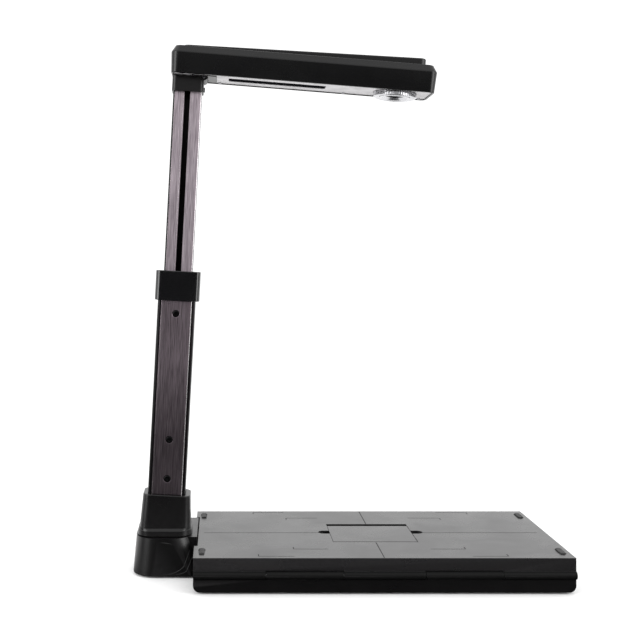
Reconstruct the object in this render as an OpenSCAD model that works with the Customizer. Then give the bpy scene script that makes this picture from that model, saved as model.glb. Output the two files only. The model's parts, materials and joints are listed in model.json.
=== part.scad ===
// Folding book scanner: a hinged base board, a leaning telescopic mast on a
// swivelling foot, and a fold-down camera head with a lamp and a focus ring.
// X runs along the board, Y away from its front edge, Z up from the desk.

/* [Board] */
// Width of the folded board
board_w = 320; // [270:1:400]
// Depth of the folded board
board_d = 159; // [130:1:200]
// Thickness of each half of the board
half_t = 14.2; // [13:0.1:18]
// Outer wall of each half
board_wall = 2.4; // [1.8:0.1:3]
// Gap between the two halves when folded
fold_gap = 0.4; // [0.3:0.1:0.8]
// Radius of the rounded lower corners
board_corner_r = 5.5; // [3:0.5:8]
// Height that feet and pads stand proud
pad_h = 1.2; // [1:0.1:2]
// Thickness of the inner cover plates
cover_t = 2; // [1.6:0.1:2.4]
// Thickness of the steel ballast plate
ballast_t = 5; // [3:0.5:6]

/* [Board hinge] */
// Radius of the hinge knuckles
knuckle_r = 3.4; // [3:0.1:4]
// Width of the two end knuckles
end_knuckle_w = 61; // [40:1:70]
// Width of the middle knuckle
mid_knuckle_w = 68.5; // [40:0.5:90]
// Radius of the board's hinge pin
board_pin_r = 1.25; // [1:0.05:1.6]

/* [Flap] */
// Width of the storage flap
flap_w = 74.5; // [50:0.5:90]
// Depth of the storage flap
flap_d = 54; // [36:0.5:64]
// Distance from the board's front edge to the flap
flap_front = 49; // [40:0.5:60]
// Finger gap along the back of the flap
flap_back_gap = 6.5; // [5:0.5:9]
// Thickness of the flap
flap_t = 2; // [1.6:0.1:2.4]
// Radius of the finger notches beside the flap
flap_notch_r = 5; // [4:0.5:8]
// Reach of the finger notches beside the flap
flap_notch_out = 10.4; // [8:0.1:14]

/* [Foot] */
// Rim of the drum's top on each side of the swivel ring
foot_rim = 0.9; // [0.5:0.1:6]
// Rim of the drum's top in front of and behind the ring
foot_rim_d = 4.4; // [1:0.1:8]
// Taper of the drum on each side
foot_taper = 2.6; // [1:0.1:4]
// Height of the foot's top above the folded board
foot_rise = 3.4; // [2:0.1:12]
// Distance of the drum's centre behind the front edge
foot_back = 72; // [66:0.5:90]
// Reach of the foot's arm in front of the drum's centre
arm_fore = 19; // [12:0.5:26]
// Reach of the arm behind the drum's centre
arm_aft = 49; // [34:0.5:54]
// Wall of the foot
foot_wall = 3; // [2:0.1:4]

/* [Mast] */
// Lean of the mast towards the board, in degrees
mast_lean = 3; // [0:0.1:6]
// Width of the upper tube
upper_w = 25.7; // [21:0.1:34]
// Depth of the upper tube
upper_d = 17; // [14:0.1:22]
// Wall of the upper tube
upper_wall = 1.8; // [1.4:0.1:2.4]
// Slot along the front of the upper tube
slot_w = 5.2; // [4.8:0.1:7]
// Wall of the glide bush at the sides
liner_side = 1.65; // [1:0.05:2.5]
// Wall of the glide bush in front and behind
liner_face = 1.2; // [1:0.05:2.5]
// Wall of the lower tube
tube_wall = 2; // [1.5:0.1:2.6]
// Travel of the upper tube
mast_travel = 150; // [100:1:190]
// Height of the boot that holds the lower tube
socket_h = 28.9; // [24:0.1:36]
// Height of the collar
collar_h = 26.7; // [20:0.1:32]
// Wall of the collar at the sides
collar_side = 3.2; // [2:0.1:5]
// Wall of the collar in front and behind
collar_face = 3; // [2:0.1:5]

/* [Head] */
// Length of the head
head_len = 237; // [196:1:285]
// Height of the head's side walls
head_side_h = 19; // [17:0.1:23]
// Height of the chamfer above them
head_bevel_h = 6.2; // [4:0.1:8]
// Slope of the head, in degrees
head_slope = 4.6; // [3:0.1:6]
// Wall of the head's casing
head_wall = 2; // [1.6:0.1:2.4]
// Rise of the lid at the nose
lid_rise = 6.6; // [4:0.1:9]
// Wall of the neck beside the upper tube
neck_side = 1.35; // [1:0.05:3]
// Wall of the neck in front of and behind the tube
neck_face = 3.5; // [3:0.1:6]
// Height of the neck
neck_h = 13.3; // [12:0.1:18]
// Length of the lamp window
lamp_len = 88; // [60:1:96]
// Width of the lamp window
lamp_w = 15; // [10:0.5:20]
// Distance from the head's hinge to the middle of the lamp
lamp_at = 66; // [60:1:70]
// Outer radius of the focus ring
ring_r = 19.2; // [16:0.1:24]
// Distance from the head's nose to the lens
lens_back = 33.4; // [30:0.1:40]
// How far the ring stands out of the underside
ring_out = 3.6; // [2:0.1:5]

/* [Fits] */
// Clearance round parts that slide or fold past each other
slide_gap = 0.3; // [0.25:0.05:0.5]
// Radial clearance of a pin or shaft in its bore
pin_gap = 0.05; // [0.02:0.01:0.1]

/* [Hidden] */
$fn = 48;
hull_fn = 32;
eps = 0.01;

// Heights of the folded board
lower_z = pad_h;
axis_z = pad_h + half_t + fold_gap / 2;
leaf_z = pad_h + half_t + fold_gap;
leaf_top = leaf_z + half_t;
front_y = fold_gap / 2;
side_knuckle_w = (board_w - 2 * end_knuckle_w - mid_knuckle_w) / 2;
knuckle_x = [0, end_knuckle_w, end_knuckle_w + side_knuckle_w,
    end_knuckle_w + side_knuckle_w + mid_knuckle_w,
    board_w - end_knuckle_w, board_w];
knuckle_gap = 0.4;

// The left side of the leaf is notched round the foot's arm
arm_front = foot_back - arm_fore;
arm_back = foot_back + arm_aft;
arm_lip = 2;
notch_x = arm_lip + 1;
notch_front = arm_front - 16.5;
notch_back = arm_back + 15;

// Screws
screw_r = 1.5;
screw_head_r = 3;
screw_head_h = 1.6;
board_screw_inset_x = 22;
board_screw_inset_y = 18;

// Corner pads of the leaf, feet of the lower board
pad_w = 4.6;
pad_l = 15;
pad_inset_x = 7;
pad_inset_y = 19;
pad_groove = 0.7;
foot_pad_r = 7;
foot_pad_inset = 16;

// Storage well under the flap
well_wall = 1.6;
well_floor = 1.6;
flap_gap = 0.35;
flap_axis_y = flap_front + flap_t;
flap_axis_z = leaf_top - flap_t;
flap_x = (board_w - flap_w) / 2;
flap_pin_r = 0.9;
flap_pin_len = 6;
well_back = flap_front + flap_d + flap_back_gap;
well_low = leaf_z + cover_t + well_floor;

// Tubes, boot and swivel ring, each from what it holds
lower_w = upper_w + 2 * (slide_gap + liner_side + tube_wall);
lower_d = upper_d + 2 * (slide_gap + liner_face + tube_wall);
collar_w = lower_w + 2 * collar_side;
collar_d = lower_d + 2 * collar_face;
neck_w = upper_w + 2 * neck_side;
neck_d = upper_d + 2 * neck_face;
socket_w = lower_w + 8.8;
socket_d = lower_d + 8;
socket_flare_w = 3.6;
socket_flare_d = 5;
ring_top_w = socket_w + socket_flare_w + 0.5;
ring_top_d = socket_d + socket_flare_d;
ring_low_w = ring_top_w + 2.5;
ring_low_d = ring_top_d + 7;

// Foot and mast frame
foot_h = leaf_top + foot_rise;
foot_w = ring_low_w + 2 * (foot_rim + foot_taper);
foot_d = ring_low_d + 2 * (foot_rim_d + foot_taper);
foot_tuck = 1;
foot_x = foot_tuck - foot_w / 2;
foot_y = foot_back;
drum_r = 20;
drum_flare_r = 5;
ring_gap = 0.3;
ring_h = 6.8;
mast_z = foot_h + ring_gap + ring_h;
shaft_r = 6;
shaft_collar_r = 12;
foot_roof = 5;
washer_t = 1.5;
nut_h = 5;

// Places along the mast, measured from the top of the swivel ring
tube_low = 3;
tube_floor = 2;
lower_len = mast_travel + 73;
tube_top = tube_low + lower_len;
collar_cap = 3;
collar_low = tube_top + collar_cap - collar_h;
collar_top = collar_low + collar_h;
spine_w = 13;
spine_d = 7;
spine_top = collar_low - 6;
guide_s = collar_low - 11.5;
spine_screw_s = [43, 78];
tube_screw_r = 1.25;
guide_r = slot_w / 2 - 0.3;
panel_w = 27;
panel_t = 1;
panel_sink = 0.6;
shoe_h = 14;
shoe_top = guide_s - guide_r - slide_gap;
shoe_floor = 4;
upper_low = shoe_top - shoe_h + shoe_floor;
neck_grip = 8;
neck_screw_r = 0.9;
neck_screw_rise = 3.4;
neck_low = collar_top + mast_travel + 11.2;
upper_len = neck_low + neck_grip - upper_low;
liner_h = 20;

// Head frame: its origin is the hinge axis at the neck's upper right edge
hinge_r = 3.2;
hinge_gap = 0.4;
head_pin_r = 1.5;
hinge_x = neck_w / 2;
hinge_s = neck_low + neck_h;
head_left = -(neck_w + 2.2);
head_right = head_left + head_len;
head_low = 0.3;
head_h = head_side_h + head_bevel_h;
head_draft = 1.2;
ring_flange = 0.9;
ring_room = 0.5;
head_d = 2 * (ring_r + ring_flange + ring_room + head_wall + head_draft);
lens_at = head_right - lens_back;
head_bevel_in = 3;
head_corner_r = 6;
plate_t = 1.6;
plate_sink = 0.8;
plate_gap = 0.15;
ear_w = 6;
lid_inset_y = 5;
lid_inset_x = 6.5;
lid_corner_r = 6;
barrel_r = 14;
barrel_len = 14;
glass_r = 9;
head_screw_x = [-20, 14, lens_at - 45, lens_at + 25];
head_screw_y = head_d / 2 - 6;
head_screw_r = 0.9;

origin_x = (board_w + foot_x - foot_w / 2) / 2;
origin_y = (board_d + front_y - knuckle_r) / 2;

module placed() {
    translate([-origin_x, -origin_y, 0]) children();
}

module on_mast() {
    placed() translate([foot_x, foot_y, mast_z]) rotate([0, mast_lean, 0]) children();
}

module on_head() {
    on_mast() translate([hinge_x, 0, hinge_s]) rotate([0, head_slope - mast_lean, 0]) children();
}

// A rectangle with rounded corners, centred
module round_rect(w, d, r) {
    square([w - 2 * r, d], center = true);
    square([w, d - 2 * r], center = true);
    for (sx = [-1, 1])
        for (sy = [-1, 1])
            translate([sx * (w / 2 - r), sy * (d / 2 - r)]) circle(r);
}

module round_block(w, d, h, r) {
    linear_extrude(h) round_rect(w, d, r);
}

// A rounded rectangle whose right-hand corners have their own radius
module uneven_rect(w, d, r_left, r_right) {
    intersection() {
        round_rect(w, d, r_left);
        translate([-w, -d]) square([w, 2 * d]);
    }
    intersection() {
        round_rect(w, d, r_right);
        translate([-eps, -d]) square([w, 2 * d]);
    }
}

// A rounded block that tapers from one outline to another
module tapered_block(w0, d0, w1, d1, h, r0, r1) {
    hull() {
        linear_extrude(eps) round_rect(w0, d0, r0, $fn = hull_fn);
        translate([0, 0, h - eps]) linear_extrude(eps) round_rect(w1, d1, r1, $fn = hull_fn);
    }
}

module rod_x(r, len) {
    rotate([0, 90, 0]) cylinder(r = r, h = len);
}

module rod_y(r, len) {
    rotate([-90, 0, 0]) cylinder(r = r, h = len);
}

// Repeats its children at the four screw places of the board
module at_board_screws() {
    for (x = [board_screw_inset_x, board_w - board_screw_inset_x])
        for (y = [board_screw_inset_y, board_d - board_screw_inset_y])
            translate([x, y, 0]) children();
}

// Every knuckle whose index has the given parity
module knuckles(parity, r, grow) {
    for (i = [0:4])
        if (i % 2 == parity)
            translate([knuckle_x[i] + (i == 0 ? 0 : knuckle_gap / 2) - grow, 0, axis_z])
                rod_x(r, knuckle_x[i + 1] - knuckle_x[i] + 2 * grow
                    - (i == 0 || i == 4 ? knuckle_gap / 2 : knuckle_gap));
}

module board_pin_bore() {
    translate([-1, 0, axis_z]) rod_x(board_pin_r + pin_gap, board_w + 2);
}

// ---- Lower board ----

module lower_board_shell() {
    r = board_corner_r;
    color([0.11, 0.1, 0.11]) placed() difference() {
        union() {
            translate([0, board_d, lower_z]) rotate([90, 0, 0])
                linear_extrude(board_d - front_y) {
                    translate([r, 0]) square([board_w - 2 * r, half_t]);
                    translate([0, r]) square([board_w, half_t - r]);
                    for (x = [r, board_w - r])
                        translate([x, r]) circle(r);
                }
            knuckles(1, knuckle_r, 0);
        }
        translate([board_wall, front_y + board_wall + knuckle_r, lower_z + board_wall])
            difference() {
                cube([board_w - 2 * board_wall, board_d - front_y - 2 * board_wall - knuckle_r, half_t]);
                translate([-board_wall, -front_y - board_wall - knuckle_r, -1])
                    at_board_screws() cylinder(r = 5, h = half_t - board_wall - cover_t + 1);
            }
        knuckles(0, knuckle_r + hinge_gap, hinge_gap);
        board_pin_bore();
        translate([0, 0, lower_z - 1]) at_board_screws() cylinder(r = screw_r + 0.1, h = half_t + 2);
        translate([0, 0, lower_z - 1]) at_board_screws() cylinder(r = screw_head_r + 0.3, h = 3.5);
        for (y = arm_screw_y)
            translate([-1, y, arm_screw_z]) rod_x(screw_r + 0.1, board_wall + 2);
    }
}

module lower_board_cover() {
    y0 = front_y + board_wall + knuckle_r + plate_gap;
    x0 = board_wall + plate_gap;
    color([0.13, 0.12, 0.13]) placed() difference() {
        translate([x0, y0, lower_z + half_t - cover_t])
            cube([board_w - 2 * x0, board_d - board_wall - plate_gap - y0, cover_t]);
        at_board_screws() translate([0, 0, lower_z]) cylinder(r = screw_r - 0.2, h = half_t - 0.8);
    }
}

module ballast_plate() {
    margin = 34;
    color([0.45, 0.45, 0.47]) placed()
        translate([margin, margin, lower_z + board_wall])
            cube([board_w - 2 * margin, board_d - margin - 14, ballast_t]);
}

module board_feet() {
    color([0.06, 0.06, 0.06]) placed()
        for (x = [foot_pad_inset, board_w - foot_pad_inset])
            for (y = [foot_pad_inset + 22, board_d - foot_pad_inset - 22])
                translate([x, y, 0]) cylinder(r = foot_pad_r, h = lower_z);
}

module cover_screws() {
    top = lower_z + half_t - 1;
    color([0.3, 0.3, 0.32]) placed() at_board_screws() {
        translate([0, 0, lower_z + 0.9]) cylinder(r = screw_head_r, h = screw_head_h);
        translate([0, 0, lower_z + 0.9]) cylinder(r = screw_r - 0.2, h = top - lower_z - 0.9);
    }
}

module board_hinge_pin() {
    color([0.6, 0.6, 0.62]) placed()
        translate([0.5, 0, axis_z]) rod_x(board_pin_r, board_w - 1);
}

// ---- Leaf ----

// Places of the corner pads
module at_pads() {
    for (x = [pad_inset_x, board_w - pad_inset_x])
        for (y = [pad_inset_y, board_d - pad_inset_y])
            translate([x, y, 0]) children();
}

// Outline of the opening for the flap, its finger gap and notches
module flap_opening() {
    h = half_t;
    translate([flap_x - flap_gap, flap_front - flap_gap, well_low])
        cube([flap_w + 2 * flap_gap, flap_d + flap_gap + flap_back_gap, h]);
    for (x = [flap_x - flap_notch_out + flap_notch_r, flap_x + flap_w + flap_notch_out - flap_notch_r])
        translate([x, flap_front + flap_d * 0.6, well_low]) cylinder(r = flap_notch_r, h = h);
    translate([flap_x - flap_notch_out + flap_notch_r, flap_front + flap_d * 0.6 - flap_notch_r, well_low])
        cube([flap_w + 2 * (flap_notch_out - flap_notch_r), 2 * flap_notch_r, h]);
}

// The storage well's walls and floor inside the leaf
module well_body() {
    side = well_wall + flap_notch_out;
    translate([flap_x - side, flap_front - flap_gap - well_wall - 1, leaf_z + cover_t])
        cube([flap_w + 2 * side, well_back - flap_front + 2 * (well_wall + 1), half_t - cover_t - 1]);
}

module leaf_shell() {
    color([0.14, 0.13, 0.14]) placed() difference() {
        union() {
            difference() {
                translate([0, front_y, leaf_z]) cube([board_w, board_d - front_y, half_t]);
                translate([board_wall + notch_x, front_y + board_wall + knuckle_r, leaf_z - 1])
                    difference() {
                        cube([board_w - 2 * board_wall - notch_x,
                            board_d - front_y - 2 * board_wall - knuckle_r, half_t - board_wall + 1]);
                        translate([-board_wall - notch_x, -front_y - board_wall - knuckle_r, cover_t + 1])
                            at_board_screws() cylinder(r = 5, h = half_t);
                    }
            }
            knuckles(0, knuckle_r, 0);
            well_body();
        }
        knuckles(1, knuckle_r + hinge_gap, hinge_gap);
        board_pin_bore();
        flap_opening();
        translate([-1, notch_front, leaf_z - 5]) cube([notch_x + 1, notch_back - notch_front, half_t + 10]);
        translate([flap_x - flap_pin_len / 2 - flap_gap, flap_axis_y, flap_axis_z])
            rod_x(flap_pin_r + pin_gap, flap_w + flap_pin_len + 2 * flap_gap);
        at_board_screws() translate([0, 0, leaf_z - 1]) cylinder(r = screw_r - 0.2, h = half_t - 3);
        at_pads() translate([0, 0, leaf_top - 0.8])
            round_block(pad_w + 2 * pad_groove, pad_l + 2 * pad_groove, 2, 2);
    }
}

module leaf_cover() {
    x0 = board_wall + notch_x + plate_gap;
    y0 = front_y + board_wall + knuckle_r + plate_gap;
    color([0.13, 0.12, 0.13]) placed() difference() {
        translate([x0, y0, leaf_z])
            cube([board_w - board_wall - plate_gap - x0, board_d - board_wall - plate_gap - y0, cover_t]);
        at_board_screws() translate([0, 0, leaf_z - 1]) cylinder(r = screw_r + 0.1, h = cover_t + 2);
        at_board_screws() translate([0, 0, leaf_z - 1]) cylinder(r = screw_head_r + 0.2, h = 2.1);
    }
}

module corner_pads() {
    color([0.05, 0.05, 0.05]) placed() at_pads()
        translate([0, 0, leaf_top - 0.8]) round_block(pad_w, pad_l, pad_h + 0.8, 1.6);
}

module leaf_screws() {
    color([0.3, 0.3, 0.32]) placed() at_board_screws() {
        translate([0, 0, leaf_z + 0.1]) cylinder(r = screw_head_r, h = 1);
        translate([0, 0, leaf_z + 0.1]) cylinder(r = screw_r - 0.2, h = 9);
    }
}

module storage_flap() {
    color([0.15, 0.14, 0.15]) placed() difference() {
        union() {
            translate([flap_x, flap_axis_y, flap_axis_z]) cube([flap_w, flap_d - flap_t, flap_t]);
            translate([flap_x, flap_axis_y, flap_axis_z]) rod_x(flap_t, flap_w);
        }
        for (x = [flap_x - 1, flap_x + flap_w - flap_pin_len / 2])
            translate([x, flap_axis_y, flap_axis_z]) rod_x(flap_pin_r, flap_pin_len / 2 + 1);
    }
}

module flap_pins() {
    color([0.6, 0.6, 0.62]) placed()
        for (x = [flap_x - flap_pin_len / 2, flap_x + flap_w - flap_pin_len / 2])
            translate([x, flap_axis_y, flap_axis_z]) rod_x(flap_pin_r, flap_pin_len);
}

// ---- Foot ----

arm_screw_y = [arm_front + 8, (arm_front + arm_back) / 2, arm_back - 8];
arm_screw_z = lower_z + half_t / 2;
arm_wall = 3;
base_plate_t = 2;
foot_screw_r = 1.1;

// The arm's outline behind and beside the drum, shrunk by a wall
module arm_outline(wall) {
    r = 12;
    x0 = foot_x - 4 + wall;
    x1 = wall == 0 ? arm_lip : -wall;
    y0 = wall == 0 ? arm_front : foot_y + 10;
    y1 = arm_back - wall;
    translate([x0 + r - wall, y0]) square([x1 - x0 - r + wall, y1 - y0]);
    translate([x0, y0]) square([x1 - x0, y1 - y0 - r + wall]);
    translate([x0 + r - wall, y1 - r + wall]) circle(r - wall);
}

module foot_housing() {
    top_w = foot_w - 2 * foot_taper;
    top_d = foot_d - 2 * foot_taper;
    color([0.11, 0.1, 0.11]) placed() difference() {
        union() {
            translate([foot_x, foot_y, lower_z]) hull() {
                linear_extrude(eps) uneven_rect(foot_w, foot_d, drum_r, drum_flare_r, $fn = hull_fn);
                translate([0, 0, foot_h - lower_z - eps])
                    linear_extrude(eps) round_rect(top_w, top_d, drum_r, $fn = hull_fn);
            }
            translate([0, 0, lower_z]) linear_extrude(foot_h - lower_z) arm_outline(0);
        }
        translate([0, 0, -1]) cube([foot_w, board_d, leaf_z + 1]);
        translate([arm_lip, 0, -1]) cube([foot_w, board_d, foot_h + 2]);
        translate([0, 0, lower_z - 1]) linear_extrude(foot_h - lower_z - foot_roof + 1) arm_outline(arm_wall);
        difference() {
            translate([foot_x, foot_y, lower_z - 1])
                round_block(top_w - 2 * foot_wall, top_d - 2 * foot_wall,
                    foot_h - lower_z - foot_roof + 1, drum_r - foot_wall);
            at_foot_screws() translate([0, 0, lower_z + base_plate_t]) cylinder(r = 3, h = foot_h);
        }
        at_foot_screws() cylinder(r = foot_screw_r, h = lower_z + 8);
        translate([foot_x, foot_y, 0]) cylinder(r = shaft_r + pin_gap, h = foot_h + 10);
        for (y = arm_screw_y)
            translate([-8, y, arm_screw_z]) rod_x(screw_r - 0.2, 10);
    }
}

module at_foot_screws() {
    for (a = [45:90:315])
        translate([foot_x, foot_y, 0]) rotate([0, 0, a]) translate([20, 0, 0]) children();
}

module foot_base_plate() {
    top_w = foot_w - 2 * foot_taper;
    top_d = foot_d - 2 * foot_taper;
    color([0.1, 0.1, 0.1]) placed() difference() {
        translate([foot_x, foot_y, lower_z])
            round_block(top_w - 2 * foot_wall - 2 * plate_gap, top_d - 2 * foot_wall - 2 * plate_gap,
                base_plate_t, drum_r - foot_wall - plate_gap);
        at_foot_screws() cylinder(r = foot_screw_r, h = 10);
        at_foot_screws() cylinder(r = 2, h = lower_z + 0.7);
    }
}

module foot_pads() {
    color([0.06, 0.06, 0.06]) placed()
        for (a = [0:90:270])
            translate([foot_x, foot_y, 0]) rotate([0, 0, a])
                translate([14, 0, 0]) cylinder(r = 4.5, h = lower_z);
}

module foot_screws() {
    color([0.3, 0.3, 0.32]) placed() at_foot_screws() translate([0, 0, lower_z]) {
        cylinder(r = 1.9, h = 0.7);
        cylinder(r = foot_screw_r, h = 7);
    }
}

module arm_screws() {
    color([0.3, 0.3, 0.32]) placed()
        for (y = arm_screw_y) {
            translate([board_wall, y, arm_screw_z]) rod_x(screw_head_r, screw_head_h);
            translate([-6, y, arm_screw_z]) rod_x(screw_r - 0.2, board_wall + 7);
        }
}

// ---- Swivel ----

// Shanks of the screws that hold the boot and the tube on the shaft's flange
module shaft_screw_shanks(r, low, high) {
    for (a = [0:90:270])
        translate([foot_x, foot_y, mast_z]) rotate([0, 0, a + 45])
            translate([9, 0, low]) cylinder(r = r, h = high - low);
}

module shaft_screws() {
    color([0.3, 0.3, 0.32]) placed() {
        shaft_screw_shanks(1.2, -ring_h + 0.4, 4.4);
        shaft_screw_shanks(2.1, -ring_h + 0.4, -ring_h + 1.8);
    }
}

module swivel_ring() {
    color([0.09, 0.09, 0.09]) placed() translate([foot_x, foot_y, foot_h + ring_gap]) difference() {
        tapered_block(ring_low_w, ring_low_d, ring_top_w, ring_top_d, ring_h, 14, 9);
        translate([0, 0, -1]) cylinder(r = shaft_collar_r + pin_gap, h = ring_h + 2);
    }
}

module swivel_shaft() {
    low = foot_h - foot_roof - washer_t - nut_h - 1 - ring_gap;
    color([0.62, 0.62, 0.64]) placed() difference() {
        translate([foot_x, foot_y, 0]) {
            translate([0, 0, low]) cylinder(r = shaft_r, h = mast_z - low);
            translate([0, 0, foot_h + ring_gap]) cylinder(r = shaft_collar_r, h = ring_h);
        }
        shaft_screw_shanks(1.2, -ring_h - 1, 1);
        shaft_screw_shanks(2.1, -ring_h - 1, -ring_h + 1.8);
    }
}

module swivel_washer() {
    color([0.75, 0.7, 0.5]) placed()
        translate([foot_x, foot_y, foot_h - foot_roof - ring_gap - washer_t]) difference() {
            cylinder(r = 10, h = washer_t);
            translate([0, 0, -1]) cylinder(r = shaft_r, h = washer_t + 2);
        }
}

module swivel_nut() {
    color([0.55, 0.55, 0.57]) placed()
        translate([foot_x, foot_y, foot_h - foot_roof - ring_gap - washer_t - nut_h]) difference() {
            cylinder(r = 9.5, h = nut_h, $fn = 6);
            translate([0, 0, -1]) cylinder(r = shaft_r, h = nut_h + 2);
        }
}

// ---- Lower mast ----

// Lower tube outline
module lower_outline() {
    round_rect(lower_w, lower_d, 3);
}

module mast_socket() {
    color([0.1, 0.09, 0.1]) difference() {
        on_mast() translate([0, 0, -2])
            tapered_block(socket_w + socket_flare_w, socket_d + socket_flare_d, socket_w, socket_d,
                socket_h + 2, 8, 7);
        placed() translate([foot_x, foot_y, mast_z - 20]) cylinder(r = 60, h = 20);
        on_mast() translate([0, 0, tube_low]) linear_extrude(socket_h) lower_outline();
        placed() shaft_screw_shanks(1.2, -1, 4.4);
    }
}

module mast_spine() {
    color([0.5, 0.5, 0.52]) on_mast() difference() {
        translate([-spine_w / 2, -spine_d / 2, tube_low]) cube([spine_w, spine_d, spine_top - tube_low]);
        for (s = concat(spine_screw_s, [guide_s]))
            translate([0, -spine_d, s]) rod_y(tube_screw_r, 2 * spine_d);
    }
}

module lower_tube() {
    color([0.2, 0.19, 0.2]) difference() {
        on_mast() lower_tube_form();
        placed() shaft_screw_shanks(1.2, -1, 4.4);
    }
}

module lower_tube_form() {
    difference() {
        translate([0, 0, tube_low]) linear_extrude(lower_len) lower_outline();
        translate([0, 0, tube_low + tube_floor]) linear_extrude(lower_len)
            round_rect(lower_w - 2 * tube_wall, lower_d - 2 * tube_wall, 1);
        translate([-spine_w / 2, -spine_d / 2, 0]) cube([spine_w, spine_d, 10]);
        translate([-panel_w / 2, -lower_d / 2 - 1, socket_h])
            cube([panel_w, panel_sink + 1, collar_low - socket_h]);
        for (s = spine_screw_s)
            translate([0, -lower_d, s]) rod_y(tube_screw_r + 0.1, lower_d);
        translate([0, -lower_d, guide_s]) rod_y(guide_r + 0.05, lower_d);
    }
}

module lower_front_panel() {
    low = socket_h + 0.1;
    color([0.55, 0.5, 0.52]) on_mast() difference() {
        translate([-panel_w / 2 + 0.1, -lower_d / 2 + panel_sink - panel_t, low])
            cube([panel_w - 0.2, panel_t, collar_low - low - 0.1]);
        for (s = concat(spine_screw_s, [guide_s]))
            translate([0, -lower_d, s]) rod_y(3.25, lower_d);
    }
}

// Dark screw heads on the front, with shanks into the spine
module spine_screws() {
    color([0.08, 0.08, 0.08]) on_mast()
        for (s = spine_screw_s)
            translate([0, -lower_d / 2 + panel_sink, s]) {
                translate([0, -0.9, 0]) rod_y(3, 0.9);
                rod_y(tube_screw_r, lower_d / 2 + spine_d / 2 - panel_sink);
            }
}

module guide_screw() {
    color([0.08, 0.08, 0.08]) on_mast()
        translate([0, -lower_d / 2 + panel_sink, guide_s]) {
            translate([0, -0.9, 0]) rod_y(3, 0.9);
            rod_y(guide_r, lower_d / 2 - spine_d / 2 - panel_sink);
            rod_y(tube_screw_r, lower_d / 2 + spine_d / 2 - panel_sink);
        }
}

module collar() {
    color([0.07, 0.07, 0.07]) on_mast() difference() {
        translate([0, 0, collar_low]) round_block(collar_w, collar_d, collar_h, 5);
        translate([0, 0, collar_low - 1]) linear_extrude(tube_top - collar_low + 1) lower_outline();
        translate([0, 0, tube_top - 1]) linear_extrude(collar_h)
            round_rect(upper_w + 2 * slide_gap, upper_d + 2 * slide_gap, 1.5);
    }
}

module collar_liner() {
    color([0.8, 0.8, 0.78]) on_mast() translate([0, 0, tube_top - liner_h]) difference() {
        linear_extrude(liner_h) round_rect(lower_w - 2 * tube_wall, lower_d - 2 * tube_wall, 1);
        translate([0, 0, -1]) linear_extrude(liner_h + 2)
            round_rect(upper_w + 2 * slide_gap, upper_d + 2 * slide_gap, 1.5);
    }
}

// ---- Upper mast ----

// Hole through the neck and the tube's side wall for the screw that joins them
module neck_screw_hole() {
    translate([neck_w / 2 - 6, 0, neck_low + neck_screw_rise]) rod_x(neck_screw_r, 10);
}

module upper_tube() {
    color([0.58, 0.54, 0.56]) on_mast() difference() {
        translate([0, 0, upper_low]) linear_extrude(upper_len) round_rect(upper_w, upper_d, 1.5);
        translate([0, 0, upper_low - 1]) linear_extrude(upper_len + 2)
            round_rect(upper_w - 2 * upper_wall, upper_d - 2 * upper_wall, 0.6);
        translate([-slot_w / 2, -upper_d, upper_low - 1]) cube([slot_w, upper_d, upper_len + 2]);
        neck_screw_hole();
    }
}

module glide_shoe() {
    low = shoe_top - shoe_h;
    color([0.85, 0.85, 0.83]) on_mast() difference() {
        translate([0, 0, low]) linear_extrude(shoe_h)
            round_rect(lower_w - 2 * tube_wall - 2 * slide_gap, lower_d - 2 * tube_wall - 2 * slide_gap, 1);
        translate([0, 0, upper_low]) linear_extrude(shoe_h) round_rect(upper_w, upper_d, 1.5);
        translate([-spine_w / 2 - slide_gap, -spine_d / 2 - slide_gap, low - 1])
            cube([spine_w + 2 * slide_gap, spine_d + 2 * slide_gap, shoe_h]);
        translate([-tube_screw_r - slide_gap, -lower_d, low - 1])
            cube([2 * tube_screw_r + 2 * slide_gap, lower_d, shoe_h + 2]);
    }
}

// Ears of the neck reach up on the hinge axis; the head's knuckle sits between them
module neck_ears(r, y_grow) {
    for (y = [-neck_d / 2, neck_d / 2 - ear_w])
        translate([0, y - y_grow, 0]) rod_y(r, ear_w + 2 * y_grow);
}

module head_knuckle(r, y_grow) {
    translate([0, -neck_d / 2 + ear_w + hinge_gap - y_grow, 0])
        rod_y(r, neck_d - 2 * ear_w - 2 * hinge_gap + 2 * y_grow);
}

module neck_block() {
    color([0.1, 0.09, 0.1]) difference() {
        union() {
            difference() {
                on_mast() translate([0, 0, neck_low]) round_block(neck_w, neck_d, neck_h + 4, 4);
                on_head() translate([-60, -40, 0]) cube([120, 80, 40]);
            }
            on_head() neck_ears(hinge_r, 0);
        }
        on_mast() translate([0, 0, neck_low - 1]) linear_extrude(neck_grip + 1)
            round_rect(upper_w, upper_d, 1.5);
        on_head() head_knuckle(hinge_r + hinge_gap, hinge_gap);
        on_head() translate([0, -neck_d, 0]) rod_y(head_pin_r, 2 * neck_d);
        on_mast() neck_screw_hole();
    }
}

module neck_screw() {
    color([0.1, 0.1, 0.1]) on_mast() translate([0, 0, neck_low + neck_screw_rise]) {
        translate([neck_w / 2, 0, 0]) rod_x(2.2, 1.1);
        translate([neck_w / 2 - 5, 0, 0]) rod_x(neck_screw_r, 5.2);
    }
}

module head_hinge_pin() {
    color([0.6, 0.6, 0.62]) on_head()
        translate([0, -neck_d / 2, 0]) rod_y(head_pin_r, neck_d);
}

// ---- Head ----

// One outline of the head, inset on every side
module head_outline(inset, z) {
    r = max(head_corner_r - inset, 1);
    translate([(head_left + head_right) / 2, 0, z]) linear_extrude(eps)
        round_rect(head_len - 2 * inset, head_d - 2 * inset, r, $fn = hull_fn);
}

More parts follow.
